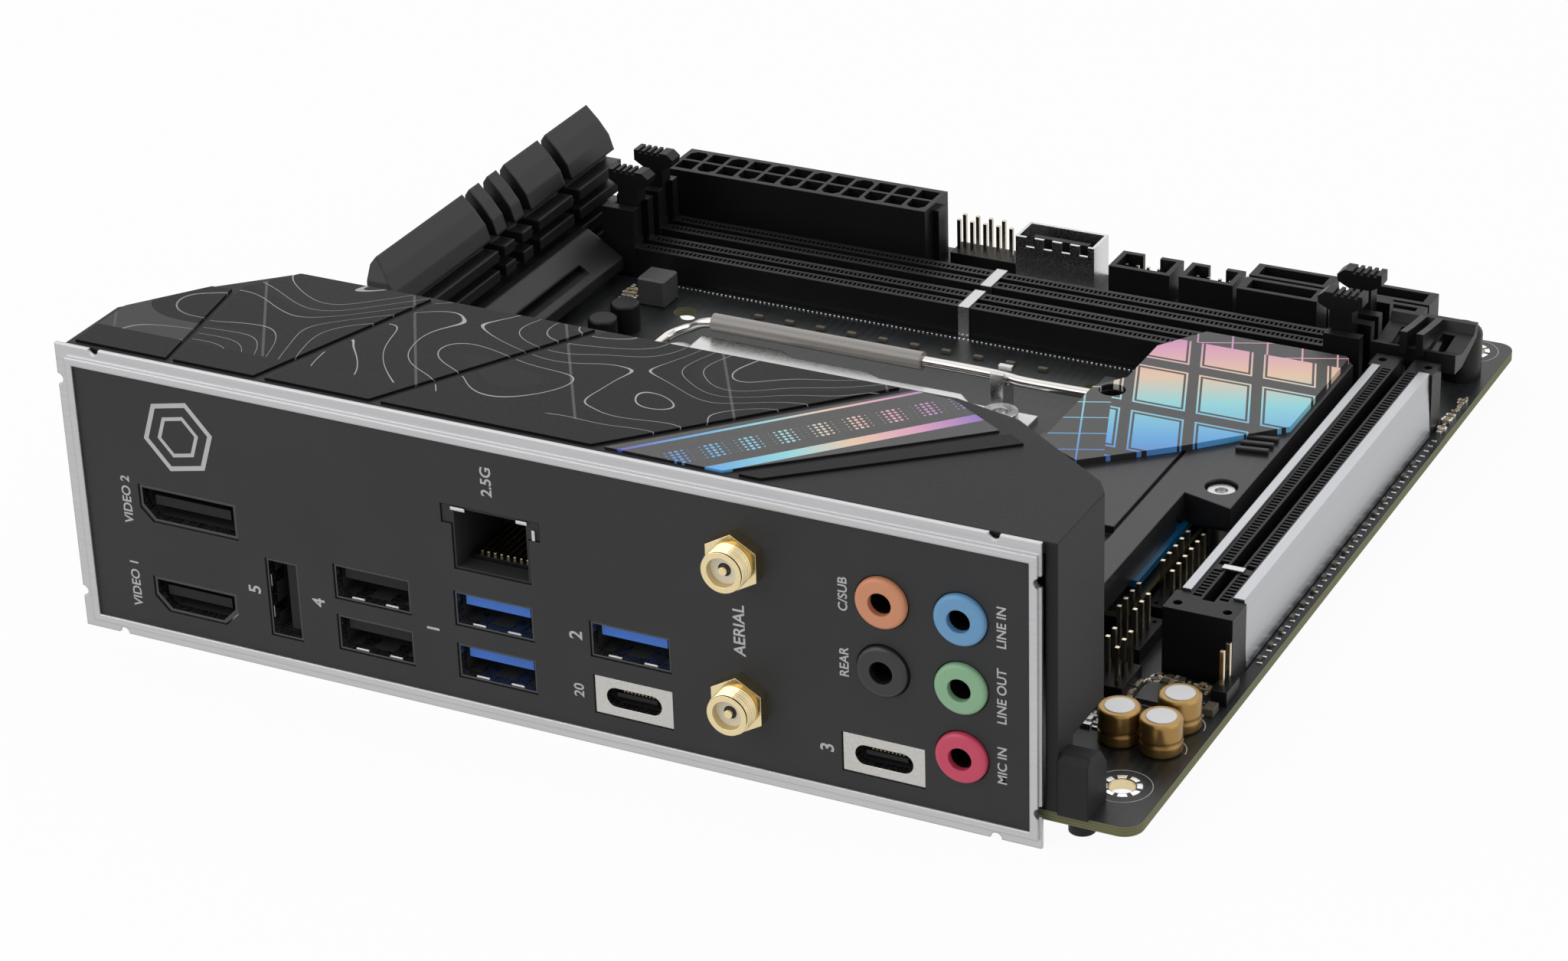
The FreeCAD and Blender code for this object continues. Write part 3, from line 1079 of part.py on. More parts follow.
# Small chips and chip parts that the picture shows, and the ones it hides.
def make_small_parts():
    chips = [slab(71.6, 77.0, -52.6, -47.2, 0.0, 0.9), slab(-30.0, -24.0, -41.0, -35.0, 0.0, 0.9),
             slab(26.0, 33.0, 50.0 - 12, 57.0 - 12, 0.0, 0.9), slab(24.0, 32.0, -58.0, -50.0, 0.0, 1.0)]
    share("chips", chips)
    parts = []
    for k in range(7):
        x, y = 71.4 + 1.8 * (k % 4), -46.2 + 1.5 * (k // 4)
        parts.append(slab(x, x + 1.0, y, y + 0.9, 0.0, 0.7))
    for k in range(16):
        y = -34.0 + 4.6 * k
        parts.append(slab(83.2, 83.8, y, y + 1.2, 0.0, 0.5))
    for k in range(10):
        x = -40.0 + 6.0 * k
        parts.append(slab(x, x + 1.6, 44.0, 44.8, 0.0, 0.6))
    for k in range(8):
        y = -22.0 + 6.0 * k
        parts.append(slab(24.6, 25.6, y, y + 1.8, 0.0, 0.7))
    for x, y in ((67.4, -57.2), (70.0, -57.0), (78.6, -51.2), (81.8, -52.0)):
        parts.append(slab(x, x + 1.6, y, y + 2.4, 0.0, 1.2))
    node("small_parts", coded("small_parts", group(parts)))
    can = post(79.6, 70.6, 0.0, 9.0, 3.6)
    top = [e for e in can.Edges if len(e.Vertexes) == 1 and e.CenterOfMass.z > TOP + 5]
    share("round_capacitors", [can.makeFillet(1.4, top)])


# Solder tails under the board below each wired connector.
def make_tails():
    tails = []
    for k in range(12):
        x = (S["atx_left"] + S["atx_right"]) / 2 + (k - 5.5) * S["atx_pitch"]
        for row in range(2):
            y = (S["atx_rear"] + S["atx_front"]) / 2 + (row - 0.5) * S["atx_pitch"]
            tails.append(tail(x, y))
    for k in range(30):
        tails.append(tail(S["pcie_x"] + 2.4 * (-1) ** k, S["pcie_rear"] + 7.0 + 2.7 * k))
    for index in range(2):
        y = S["dimm_y"] + index * S["dimm_pitch"]
        for k in range(30):
            tails.append(tail(-64.0 + 4.2 * k, y + 1.6 * (-1) ** k))
    for x in (-76, -61, -54, -50, -42, -31, -21, -10, 2, 12, 45, 50, 58, 63):
        tails.append(tail(float(x), -72.0))
        tails.append(tail(float(x), -79.0))
    node("solder_tails", coded("solder_tails", group(tails)))


def tail(x, y):
    spot = FreeCAD.Vector(x, y, -S["tail_high"])
    return Part.makeCone(0.35, 0.8, S["tail_high"], spot)


def main():
    make_board()
    make_face_plate()
    make_flange()
    make_video()
    make_upright_port()
    make_pair_port()
    make_lan_port()
    make_small_ports()
    make_tongues()
    make_jacks()
    make_aerials()
    make_cover()
    make_panels()
    make_clip_post()
    make_side_sink()
    make_rear_sink()
    make_power()
    make_socket()
    make_frame()
    make_load_plate()
    make_lever()
    make_back_plate()
    make_memories()
    make_graphics_slot()
    make_graphics_latch()
    make_power_socket()
    make_small_power()
    make_headers()
    make_box_headers()
    make_front_port()
    make_drive_ports()
    make_storage()
    make_audio_cans()
    make_small_parts()
    make_tails()
    for name, shapes in SHARED.items():
        node(name, coded(name, group(shapes)))
    doc.recompute()
    for item in doc.Objects:
        if "Invalid" in item.State or "Error" in item.State:
            raise RuntimeError("bad object " + item.Name)
    for name, item in NODES.items():
        shape = item.Shape
        if shape.isNull() or not shape.isValid():
            raise RuntimeError("bad shape " + name)
        if not shape.Solids:
            raise RuntimeError("no solid in " + name)
        shape.exportStep("parts/%s.step" % name)
        print(name, len(shape.Solids), round(shape.Volume, 1))
    print(len(NODES), "nodes")


main()
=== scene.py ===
# %% [markdown]
# A small computer main board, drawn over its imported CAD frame.
# The frame brings every solid at its real size. This lesson gives each one a finish,
# and adds the pieces that are too fine for CAD: contacts, solder, printed marks and legends.

# %% Load the frame
import math
import bpy
import numpy as np
from mathutils import Matrix, Vector


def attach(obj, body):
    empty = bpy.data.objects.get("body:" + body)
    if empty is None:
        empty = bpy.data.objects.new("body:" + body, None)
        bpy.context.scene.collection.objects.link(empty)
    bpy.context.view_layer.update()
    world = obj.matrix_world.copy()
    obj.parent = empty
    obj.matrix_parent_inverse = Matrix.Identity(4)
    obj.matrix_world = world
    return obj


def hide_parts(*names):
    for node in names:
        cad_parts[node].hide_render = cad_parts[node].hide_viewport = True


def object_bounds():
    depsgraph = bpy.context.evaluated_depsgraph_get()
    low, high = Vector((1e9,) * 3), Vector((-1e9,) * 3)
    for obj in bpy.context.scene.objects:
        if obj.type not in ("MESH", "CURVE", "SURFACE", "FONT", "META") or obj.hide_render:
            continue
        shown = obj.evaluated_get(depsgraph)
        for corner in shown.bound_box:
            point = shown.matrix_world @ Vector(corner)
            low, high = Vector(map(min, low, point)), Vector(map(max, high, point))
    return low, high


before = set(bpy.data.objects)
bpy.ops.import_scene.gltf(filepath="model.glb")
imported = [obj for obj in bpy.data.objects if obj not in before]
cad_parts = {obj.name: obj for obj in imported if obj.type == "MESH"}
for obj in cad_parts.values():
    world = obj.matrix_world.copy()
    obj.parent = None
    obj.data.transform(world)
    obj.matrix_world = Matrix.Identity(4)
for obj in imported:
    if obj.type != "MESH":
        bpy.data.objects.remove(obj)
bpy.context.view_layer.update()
MM = 0.001
TOP = 1.6
print("frame holds", len(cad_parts), "nodes")

# %% [markdown]
# The camera repeats the photograph's viewpoint. It was found by fitting a pinhole view to
# the board's corners and its standard holes, so its place and turn are plain numbers here.
# A camera's own axes are right, up and backwards, so a 3 by 3 matrix of those turns it.

# %% Camera
AZIMUTH, ELEVATION, ROLL = np.radians([27.4705, 27.1753, -1.8970])
back = np.array([math.sin(AZIMUTH) * math.cos(ELEVATION), -math.cos(AZIMUTH) * math.cos(ELEVATION),
                 math.sin(ELEVATION)])
level = np.cross(-back, [0.0, 0.0, 1.0])
level = level / np.linalg.norm(level)
upright = np.cross(level, -back)
right = math.cos(ROLL) * level + math.sin(ROLL) * upright
up = math.cos(ROLL) * upright - math.sin(ROLL) * level
turn = Matrix([[right[i], up[i], back[i]] for i in range(3)]).to_4x4()
camera = bpy.data.objects.new("camera", bpy.data.cameras.new("camera"))
camera.matrix_world = Matrix.Translation((0.271764, -0.546310, 0.312266)) @ turn
camera.data.sensor_width = 36.0
camera.data.lens = 96.62
bpy.context.scene.collection.objects.link(camera)
bpy.context.scene.camera = camera
print("camera lens", camera.data.lens)

# %% [markdown]
# Soft studio light: a pale world fills every side, and three large lamps make the long soft
# highlights that show the edges of black plastic. Large lamps give soft shadows.

# %% Lamps and world
LAMP_LEFT, LAMP_RIGHT, LAMP_OVER, FILL = 4.6, 2.4, 3.2, 0.32


def softbox(name, place, target, width, height, power):
    """A rectangular lamp at place whose face looks at target."""
    data = bpy.data.lights.new(name, "AREA")
    data.shape = "RECTANGLE"
    data.size = width
    data.size_y = height
    data.energy = power
    lamp = bpy.data.objects.new(name, data)
    way = Vector(target) - Vector(place)
    lamp.matrix_world = Matrix.Translation(place) @ way.to_track_quat("-Z", "Y").to_matrix().to_4x4()
    bpy.context.scene.collection.objects.link(lamp)
    return lamp


softbox("lamp_rear_left", (-0.55, -0.55, 0.55), (0, 0, 0.01), 1.1, 0.9, LAMP_LEFT)
softbox("lamp_right", (0.85, -0.05, 0.35), (0, 0, 0.01), 0.9, 0.8, LAMP_RIGHT)
softbox("lamp_overhead", (0.0, 0.45, 0.8), (0, 0, 0.0), 1.6, 1.2, LAMP_OVER)
world = bpy.data.worlds.new("studio")
bpy.context.scene.world = world
world.use_nodes = True
nodes, links = world.node_tree.nodes, world.node_tree.links
nodes.clear()
rays = nodes.new("ShaderNodeLightPath")
seen = nodes.new("ShaderNodeMath")
seen.operation = "MAXIMUM"
links.new(rays.outputs["Is Camera Ray"], seen.inputs[0])
links.new(rays.outputs["Is Transmission Ray"], seen.inputs[1])
shine = nodes.new("ShaderNodeMath")
shine.operation = "MAXIMUM"
links.new(seen.outputs[0], shine.inputs[0])
links.new(rays.outputs["Is Glossy Ray"], shine.inputs[1])
fill = nodes.new("ShaderNodeBackground")
fill.inputs["Color"].default_value = (1.0, 1.0, 1.0, 1.0)
fill.inputs["Strength"].default_value = FILL
white = nodes.new("ShaderNodeBackground")
white.inputs["Strength"].default_value = 1.0
white.inputs["Color"].default_value = (1.0, 1.0, 1.0, 1.0)
blend = nodes.new("ShaderNodeMixShader")
out = nodes.new("ShaderNodeOutputWorld")
links.new(shine.outputs[0], blend.inputs[0])
links.new(fill.outputs[0], blend.inputs[1])
links.new(white.outputs[0], blend.inputs[2])
links.new(blend.outputs[0], out.inputs["Surface"])
bpy.context.scene.view_settings.view_transform = "Standard"

# %% [markdown]
# A material here is a small graph. `Graph` keeps the graph's text short: each method adds
# one node, links what it is given, and hands back the node's output for the next step.

# %% Material graph helper
class Graph:
    """One material's nodes, all read from the object's own coordinates in metres."""

    def __init__(self, name):
        self.material = bpy.data.materials.new(name)
        self.material.use_nodes = True
        self.nodes = self.material.node_tree.nodes
        self.links = self.material.node_tree.links
        self.shader = self.nodes["Principled BSDF"]
        self.place = self.nodes.new("ShaderNodeTexCoord").outputs["Object"]

    def feed(self, socket, value):
        if hasattr(value, "is_output"):
            self.links.new(value, socket)
        elif isinstance(value, tuple) and len(value) == 3 and socket.type == "RGBA":
            socket.default_value = value + (1.0,)
        else:
            socket.default_value = value

    def math(self, operation, a, b=0.0, c=0.0):
        node = self.nodes.new("ShaderNodeMath")
        node.operation = operation
        for socket, value in zip(node.inputs, (a, b, c)):
            self.feed(socket, value)
        return node.outputs[0]

    def map(self, scale=(1, 1, 1), turn=(0, 0, 0), shift=(0, 0, 0)):
        node = self.nodes.new("ShaderNodeMapping")
        self.feed(node.inputs["Vector"], self.place)
        self.feed(node.inputs["Scale"], scale)
        self.feed(node.inputs["Rotation"], turn)
        self.feed(node.inputs["Location"], shift)
        return node.outputs[0]

    def noise(self, scale, detail=2.0, vector=None):
        node = self.nodes.new("ShaderNodeTexNoise")
        self.feed(node.inputs["Vector"], self.place if vector is None else vector)
        self.feed(node.inputs["Scale"], scale)
        self.feed(node.inputs["Detail"], detail)
        return node.outputs["Fac"]

    def cells(self, scale, vector=None, feature="F1"):
        node = self.nodes.new("ShaderNodeTexVoronoi")
        node.feature = feature
        self.feed(node.inputs["Vector"], self.place if vector is None else vector)
        self.feed(node.inputs["Scale"], scale)
        return node.outputs["Distance"]

    def split(self, vector):
        node = self.nodes.new("ShaderNodeSeparateXYZ")
        self.feed(node.inputs[0], vector)
        return node.outputs

    def mix(self, amount, a, b):
        node = self.nodes.new("ShaderNodeMix")
        node.data_type = "RGBA"
        self.feed(node.inputs[0], amount)
        self.feed(node.inputs[6], a)
        self.feed(node.inputs[7], b)
        return node.outputs[2]

    def ramp(self, value, stops):
        node = self.nodes.new("ShaderNodeValToRGB")
        self.feed(node.inputs[0], value)
        band = node.color_ramp
        while len(band.elements) < len(stops):
            band.elements.new(0.5)
        for element, (where, colour) in zip(band.elements, stops):
            element.position = where
            element.color = colour + (1.0,)
        return node.outputs[0]

    def bump(self, height, strength, depth=0.0001, edge=0.0):
        node = self.nodes.new("ShaderNodeBump")
        self.feed(node.inputs["Height"], height)
        self.feed(node.inputs["Strength"], strength)
        self.feed(node.inputs["Distance"], depth)
        if edge > 0.0:
            soft = self.nodes.new("ShaderNodeBevel")
            soft.samples = 4
            soft.inputs["Radius"].default_value = edge
            self.links.new(soft.outputs[0], node.inputs["Normal"])
        self.links.new(node.outputs[0], self.shader.inputs["Normal"])

    def set(self, name, value):
        self.feed(self.shader.inputs[name], value)


print("graph helper ready")

# %% [markdown]
# Most black parts are moulded or anodised. Both have a fine grain that breaks up highlights,
# a slight change of tone over the surface, and rounded edges. A noise drives the tone and the
# roughness, a finer one the bump, and a bevel shader rounds the look of sharp CAD edges.

# %% Grained finish
def grained(name, colour, rough, metal=0.0, tone=0.18, grain=900.0, bump=0.15, edge=0.0002, coat=0.0,
            shine=0.5):
    """Base colour times 1 plus or minus tone by a slow noise; roughness shifts with it."""
    g = Graph(name)
    slow = g.noise(60.0, 3.0)
    fine = g.noise(grain * 2.0, 2.0)
    dark = tuple(c * (1.0 - tone) for c in colour)
    light = tuple(min(1.0, c * (1.0 + tone)) for c in colour)
    g.set("Base Color", g.mix(slow, dark, light))
    g.set("Roughness", g.math("MULTIPLY_ADD", fine, 0.16, max(0.02, rough - 0.08)))
    g.set("Metallic", metal)
    g.set("Coat Weight", coat)
    g.set("Specular IOR Level", shine)
    g.bump(fine, bump, 0.00008, edge)
    return g.material


def brushed(name, colour, rough, along="x", metal=1.0, lines=1.0, edge=0.0002):
    """Noise squeezed across the grain direction, so it draws long fine scratches."""
    g = Graph(name)
    scale = {"x": (60, 3500, 3500), "y": (3500, 60, 3500), "z": (3500, 3500, 60)}[along]
    streak = g.noise(1.0, 3.0, g.map(scale))
    dark = tuple(c * 0.78 for c in colour)
    g.set("Base Color", g.mix(streak, dark, colour))
    g.set("Roughness", g.math("MULTIPLY_ADD", streak, 0.2, max(0.02, rough - 0.1)))
    g.set("Metallic", metal)
    g.bump(streak, 0.12 * lines, 0.00005, edge)
    return g.material


print("finish makers ready")

# %% [markdown]
# The bare board is a black solder mask over woven glass. The cut edge shows the tan-green
# glass itself. The side faces are found from the surface normal: where it points sideways,
# the colour changes to the laminate, with thin layers drawn by a wave in height.

# %% Board finish
def board_finish():
    """Black mask where the normal points up or down, layered laminate where it points sideways."""
    g = Graph("solder_mask")
    normal = g.nodes.new("ShaderNodeNewGeometry").outputs["Normal"]
    facing = g.math("ABSOLUTE", g.split(normal)[2])
    side = g.math("LESS_THAN", facing, 0.5)
    weave = g.noise(1.0, 2.0, g.map((900, 120, 900)))
    weave_across = g.noise(1.0, 2.0, g.map((120, 900, 900), shift=(3, 1, 0)))
    cloth = g.math("MULTIPLY", weave, weave_across)
    mask = g.mix(g.math("MULTIPLY", cloth, 2.0), (0.005, 0.006, 0.0065), (0.018, 0.019, 0.020))
    trace_x = g.math("FRACT", g.math("MULTIPLY", g.split(g.place)[0], 620.0))
    trace = g.math("MULTIPLY", g.math("LESS_THAN", trace_x, 0.45), g.math("GREATER_THAN", g.noise(70.0, 1.0), 0.52))
    mask = g.mix(g.math("MULTIPLY", trace, 0.3), mask, (0.026, 0.028, 0.030))
    height = g.split(g.place)[2]
    layers = g.math("SINE", g.math("MULTIPLY", height, 14000.0))
    glass = g.mix(g.math("MULTIPLY_ADD", layers, 0.3, 0.5), (0.09, 0.09, 0.04), (0.20, 0.20, 0.10))
    g.set("Base Color", g.mix(side, mask, glass))
    g.set("Roughness", g.math("MULTIPLY_ADD", side, 0.3, 0.36))
    g.set("Metallic", 0.0)
    g.set("Specular IOR Level", 0.35)
    g.bump(g.math("ADD", cloth, g.math("MULTIPLY", trace, 0.3)), 0.25, 0.00006)
    return g.material


print("board finish ready")

# %% [markdown]
# The printed panels carry thin light lines over black and grey fields. The lines here are
# height contours: a slow noise bent by distance is cut into equal steps, and a narrow band
# round each step is drawn light. Larger cells pick which fields are grey.

# %% Printed panel finish
def contour_print(name, line_colour, field, pitch=7.0):
    """Line where the fractional part of pitch times the height is near zero."""
    g = Graph(name)
    vector = g.map((26, 26, 26), turn=(0, 0, 0.6))
    hill = g.noise(1.0, 1.0, vector)
    step = g.math("FRACT", g.math("MULTIPLY", hill, pitch * 3.4))
    line = g.math("LESS_THAN", step, 0.032)
    x, y, z = g.split(g.map((1, 1, 1), turn=(0, 0, -0.55)))
    beam = g.math("FRACT", g.math("MULTIPLY", x, 44.0))
    grey = g.math("LESS_THAN", g.math("FRACT", g.math("MULTIPLY", hill, 3.0)), 0.45)
    base = g.mix(g.math("MULTIPLY", grey, 0.75), (0.006, 0.006, 0.007), field)
    base = g.mix(g.math("LESS_THAN", beam, 0.018), base, (0.10, 0.10, 0.105))
    printed = g.mix(line, base, line_colour)
    across = g.split(g.map((1, 1, 1), turn=(0, 0, -0.82)))[1]
    bare = g.math("MAXIMUM", g.math("LESS_THAN", across, -0.0765), g.math("LESS_THAN", g.split(g.place)[1], -0.0785))
    g.set("Base Color", g.mix(bare, printed, (0.006, 0.006, 0.007)))
    g.set("Specular IOR Level", 0.1)
    g.set("Roughness", g.math("MULTIPLY_ADD", g.noise(1500.0), 0.15, 0.38))
    g.bump(g.noise(2200.0), 0.12, 0.00006, 0.0001)
    return g.material


RAINBOW = [(0.0, (0.10, 0.10, 0.55)), (0.2, (0.10, 0.42, 0.85)), (0.42, (0.30, 0.75, 0.80)),
           (0.6, (0.90, 0.62, 0.42)), (0.78, (0.80, 0.36, 0.55)), (1.0, (0.20, 0.12, 0.55))]
print("print finishes ready")

# %% [markdown]
# A moving band of colour gives the two bright panels their look. The band is a colour ramp
# read along one slanted direction. The marks on top of it are plain shapes: slanted bars on
# the storage cover, and rows of dots that shrink toward the ends on the strip.

# %% Bright panel finishes
def bar_print():
    """Two rows of slanted outlined bars filled by the ramp, over thin grid lines on black."""
    g = Graph("storage_cover_print")
    x, y, z = g.split(g.map((1, 1, 1), shift=(-0.0520, -0.0180, 0), turn=(0, 0, 0)))
    slide = g.math("MULTIPLY_ADD", y, 0.35, x)
    along = g.math("MULTIPLY_ADD", x, -0.4, y)
    colour = g.ramp(g.math("MULTIPLY_ADD", along, 16.0, 0.42), RAINBOW)
    cell = g.math("FRACT", g.math("MULTIPLY", slide, 92.0))
    row = g.math("FRACT", g.math("MULTIPLY_ADD", y, 62.0, 0.28))
    gap = g.math("MINIMUM", g.math("MINIMUM", cell, g.math("SUBTRACT", 1.0, cell)),
                 g.math("MINIMUM", row, g.math("SUBTRACT", 1.0, row)))
    bar = g.math("GREATER_THAN", gap, 0.15)
    line = g.math("MULTIPLY", g.math("GREATER_THAN", gap, 0.085), g.math("LESS_THAN", gap, 0.115))
    middle = g.math("MULTIPLY", g.math("LESS_THAN", y, 0.0215), g.math("GREATER_THAN", slide, -0.0135))
    solid = g.math("MULTIPLY", g.math("MAXIMUM", bar, line), middle)
    mesh_x = g.math("FRACT", g.math("MULTIPLY", slide, 165.0))
    mesh_y = g.math("FRACT", g.math("MULTIPLY", along, 165.0))
    mesh = g.math("MAXIMUM", g.math("LESS_THAN", mesh_x, 0.05), g.math("LESS_THAN", mesh_y, 0.05))
    mark = g.math("MAXIMUM", solid, g.math("MULTIPLY", mesh, g.math("SUBTRACT", 1.0, middle)))
    g.set("Base Color", g.mix(mark, (0.010, 0.010, 0.012), colour))
    g.set("Roughness", g.math("MULTIPLY_ADD", g.noise(1800.0), 0.12, 0.30))
    g.bump(g.noise(2400.0), 0.08, 0.00005, 0.0001)
    return g.material


def strip_print():
    """Dots on a square grid whose radius falls toward both ends, between two ramp lines."""
    g = Graph("strip_print")
    x, y, z = g.split(g.map((1, 1, 1), turn=(0, 0, STRIP_TURN), shift=(0, 0, 0)))
    reach = g.math("MULTIPLY_ADD", x, 1.0 / STRIP_LONG, -STRIP_START / STRIP_LONG)
    across = g.math("MULTIPLY_ADD", y, 1.0 / STRIP_WIDE, -STRIP_EDGE / STRIP_WIDE)
    colour = g.ramp(reach, RAINBOW)
    cell_x = g.math("SUBTRACT", g.math("FRACT", g.math("MULTIPLY", x, 1150.0)), 0.5)
    cell_y = g.math("SUBTRACT", g.math("FRACT", g.math("MULTIPLY", y, 1150.0)), 0.5)
    radius = g.math("SQRT", g.math("ADD", g.math("MULTIPLY", cell_x, cell_x), g.math("MULTIPLY", cell_y, cell_y)))
    wave = g.math("SINE", g.math("MULTIPLY", reach, 60.0))
    size = g.math("MULTIPLY_ADD", wave, 0.16, 0.2)
    dot = g.math("LESS_THAN", radius, size)
    field = g.math("MULTIPLY", g.math("GREATER_THAN", across, 0.38), g.math("LESS_THAN", across, 0.66))
    thin = g.math("MULTIPLY", g.math("GREATER_THAN", across, 0.86), g.math("LESS_THAN", across, 0.9))
    thick = g.math("MULTIPLY", g.math("GREATER_THAN", across, 0.1), g.math("LESS_THAN", across, 0.24))
    mark = g.math("MAXIMUM", g.math("MULTIPLY", dot, field), g.math("MAXIMUM", thin, thick))
    g.set("Base Color", g.mix(mark, (0.008, 0.008, 0.010), colour))
    g.set("Roughness", g.math("MULTIPLY_ADD", g.noise(1800.0), 0.12, 0.30))
    g.bump(g.noise(2400.0), 0.08, 0.00005, 0.0001)
    return g.material


STRIP_TURN = -0.82
STRIP_LONG, STRIP_START = 0.052, -0.058
STRIP_WIDE, STRIP_EDGE = 0.0155, -0.0755
print("bright panels ready")

# %% [markdown]
# Every CAD node now gets its finish. The dictionary reads like a parts list: a maker's name
# for the finish, and the nodes that wear it.

# %% Port finish
def port_finish(name, dark_above):
    """Sheet metal with painted shade on the front rim and beyond the mouth, and black above the height dark_above."""
    g = Graph(name)
    x, y, z = g.split(g.place)
    streak = g.noise(1.0, 3.0, g.map((3500, 60, 3500)))
    # The front rim, outside the two small ports, is painted near black: painted shade where the shell sits back in the
    # face plate.
    rim = g.math("LESS_THAN", y, -0.0866)
    small = g.math("MULTIPLY", g.math("GREATER_THAN", x, 0.0003), g.math("LESS_THAN", z, 0.0086))
    rim_shade = g.math("MULTIPLY", rim, g.math("SUBTRACT", 1.0, small))
    # Past the mouth the metal shell is painted black and matt as painted shade inside the port; above dark_above it is
    # black as well.
    depth_shade_and_dark_top = g.math("MAXIMUM", g.math("GREATER_THAN", z, dark_above), g.math("GREATER_THAN", y, -0.0852))
    steel = g.mix(streak, (0.40, 0.39, 0.37), (0.62, 0.61, 0.58))
    colour = g.mix(rim_shade, steel, (0.07, 0.07, 0.07))
    g.set("Base Color", g.mix(depth_shade_and_dark_top, colour, (0.010, 0.010, 0.011)))
    g.set("Metallic", g.math("SUBTRACT", 1.0, depth_shade_and_dark_top))
    g.set("Roughness", g.math("MULTIPLY_ADD", depth_shade_and_dark_top, 0.5, g.math("MULTIPLY_ADD", streak, 0.15, 0.2)))
    g.bump(streak, 0.08, 0.00004, 0.00015)
    return g.material


def ring_finish(name, colour):
    """Coloured moulding at the mouth, painted black a millimetre inside the bore as painted shade."""
    g = Graph(name)
    # Inside the bore the coloured plastic is painted black: painted shade in the recess.
    bore_shade = g.math("GREATER_THAN", g.split(g.place)[1], -0.0869)
    slow = g.noise(60.0, 3.0)
    shade = g.mix(slow, tuple(c * 0.94 for c in colour), tuple(min(1.0, c * 1.06) for c in colour))
    g.set("Base Color", g.mix(bore_shade, shade, (0.006, 0.006, 0.006)))
    fine = g.noise(1800.0)
    g.set("Roughness", g.math("MULTIPLY_ADD", fine, 0.12, 0.3))
    g.bump(fine, 0.1, 0.00006, 0.0003)
    return g.material


print("port finishes ready")

# %% Finish list
black_shell = grained("black_moulding", (0.010, 0.010, 0.011), 0.58, tone=0.2, grain=1600, bump=0.5, edge=0.0005, shine=0.25)
black_small = grained("black_connector", (0.007, 0.007, 0.008), 0.4, grain=1200, bump=0.15, edge=0.00015, shine=0.2)
face_black = grained("face_coating", (0.022, 0.0225, 0.024), 0.5, tone=0.25, grain=2600, bump=0.7, edge=0.0002, shine=0.3)
anodised = grained("black_anodised", (0.011, 0.011, 0.012), 0.36, grain=1800, bump=0.3, edge=0.0006, shine=0.3)
brushed_black = brushed("brushed_black", (0.030, 0.030, 0.033), 0.34, "y", 0.5, 1.6, 0.0003)
bright_sheet = brushed("bright_sheet", (0.56, 0.56, 0.57), 0.40, "x", 1.0, 0.9, 0.0004)
port_sheet = brushed("port_sheet", (0.70, 0.70, 0.71), 0.25, "y", 1.0, 0.4, 0.00015)
slot_shell = brushed("slot_shell", (0.50, 0.51, 0.53), 0.34, "y", 1.0, 1.0, 0.0002)
plated = grained("plated_steel", (0.54, 0.54, 0.54), 0.28, metal=1.0, tone=0.08, grain=500, bump=0.06, edge=0.0003)
gold = grained("gold_plating", (0.74, 0.61, 0.36), 0.17, metal=1.0, tone=0.08, grain=600, bump=0.06, edge=0.00015)
blue_moulding = grained("blue_moulding", (0.03, 0.16, 0.62), 0.35, grain=900, bump=0.1)
pale_core = grained("pale_core", (0.78, 0.75, 0.64), 0.4, grain=900, bump=0.1)
choke_case = grained("choke_case", (0.06, 0.06, 0.063), 0.5, metal=0.2, tone=0.3, grain=700, bump=0.6)
chip_case = grained("chip_case", (0.020, 0.020, 0.022), 0.45, grain=1600, bump=0.3)
soft_pad = grained("soft_pad", (0.30, 0.31, 0.33), 0.8, grain=500, bump=0.4)
blue_film = grained("blue_film", (0.01, 0.12, 0.26), 0.12, grain=300, bump=0.1, coat=0.5)
sleeve_tube = grained("sleeve_tube", (0.30, 0.28, 0.26), 0.25, tone=0.12, grain=300, bump=0.1, coat=0.3)
solder = grained("solder", (0.75, 0.75, 0.76), 0.3, metal=1.0, grain=900, bump=0.3)
chip_part = grained("chip_part", (0.10, 0.085, 0.065), 0.45, tone=0.35, grain=700, bump=0.2)
pin_metal = grained("pin_metal", (0.62, 0.55, 0.42), 0.2, metal=1.0, tone=0.12, grain=500, bump=0.05, edge=0.00012)
gold_sleeve = grained("gold_sleeve", (0.34, 0.205, 0.065), 0.24, metal=0.75, tone=0.06, grain=300, bump=0.02, edge=0.0006)
step_grey = grained("grey_print", (0.10, 0.10, 0.105), 0.5, grain=1800, bump=0.3)
RINGS = {"orange": (0.66, 0.27, 0.14), "black": (0.015, 0.015, 0.016), "blue": (0.14, 0.34, 0.58),
         "green": (0.26, 0.47, 0.28), "pink": (0.62, 0.055, 0.12)}
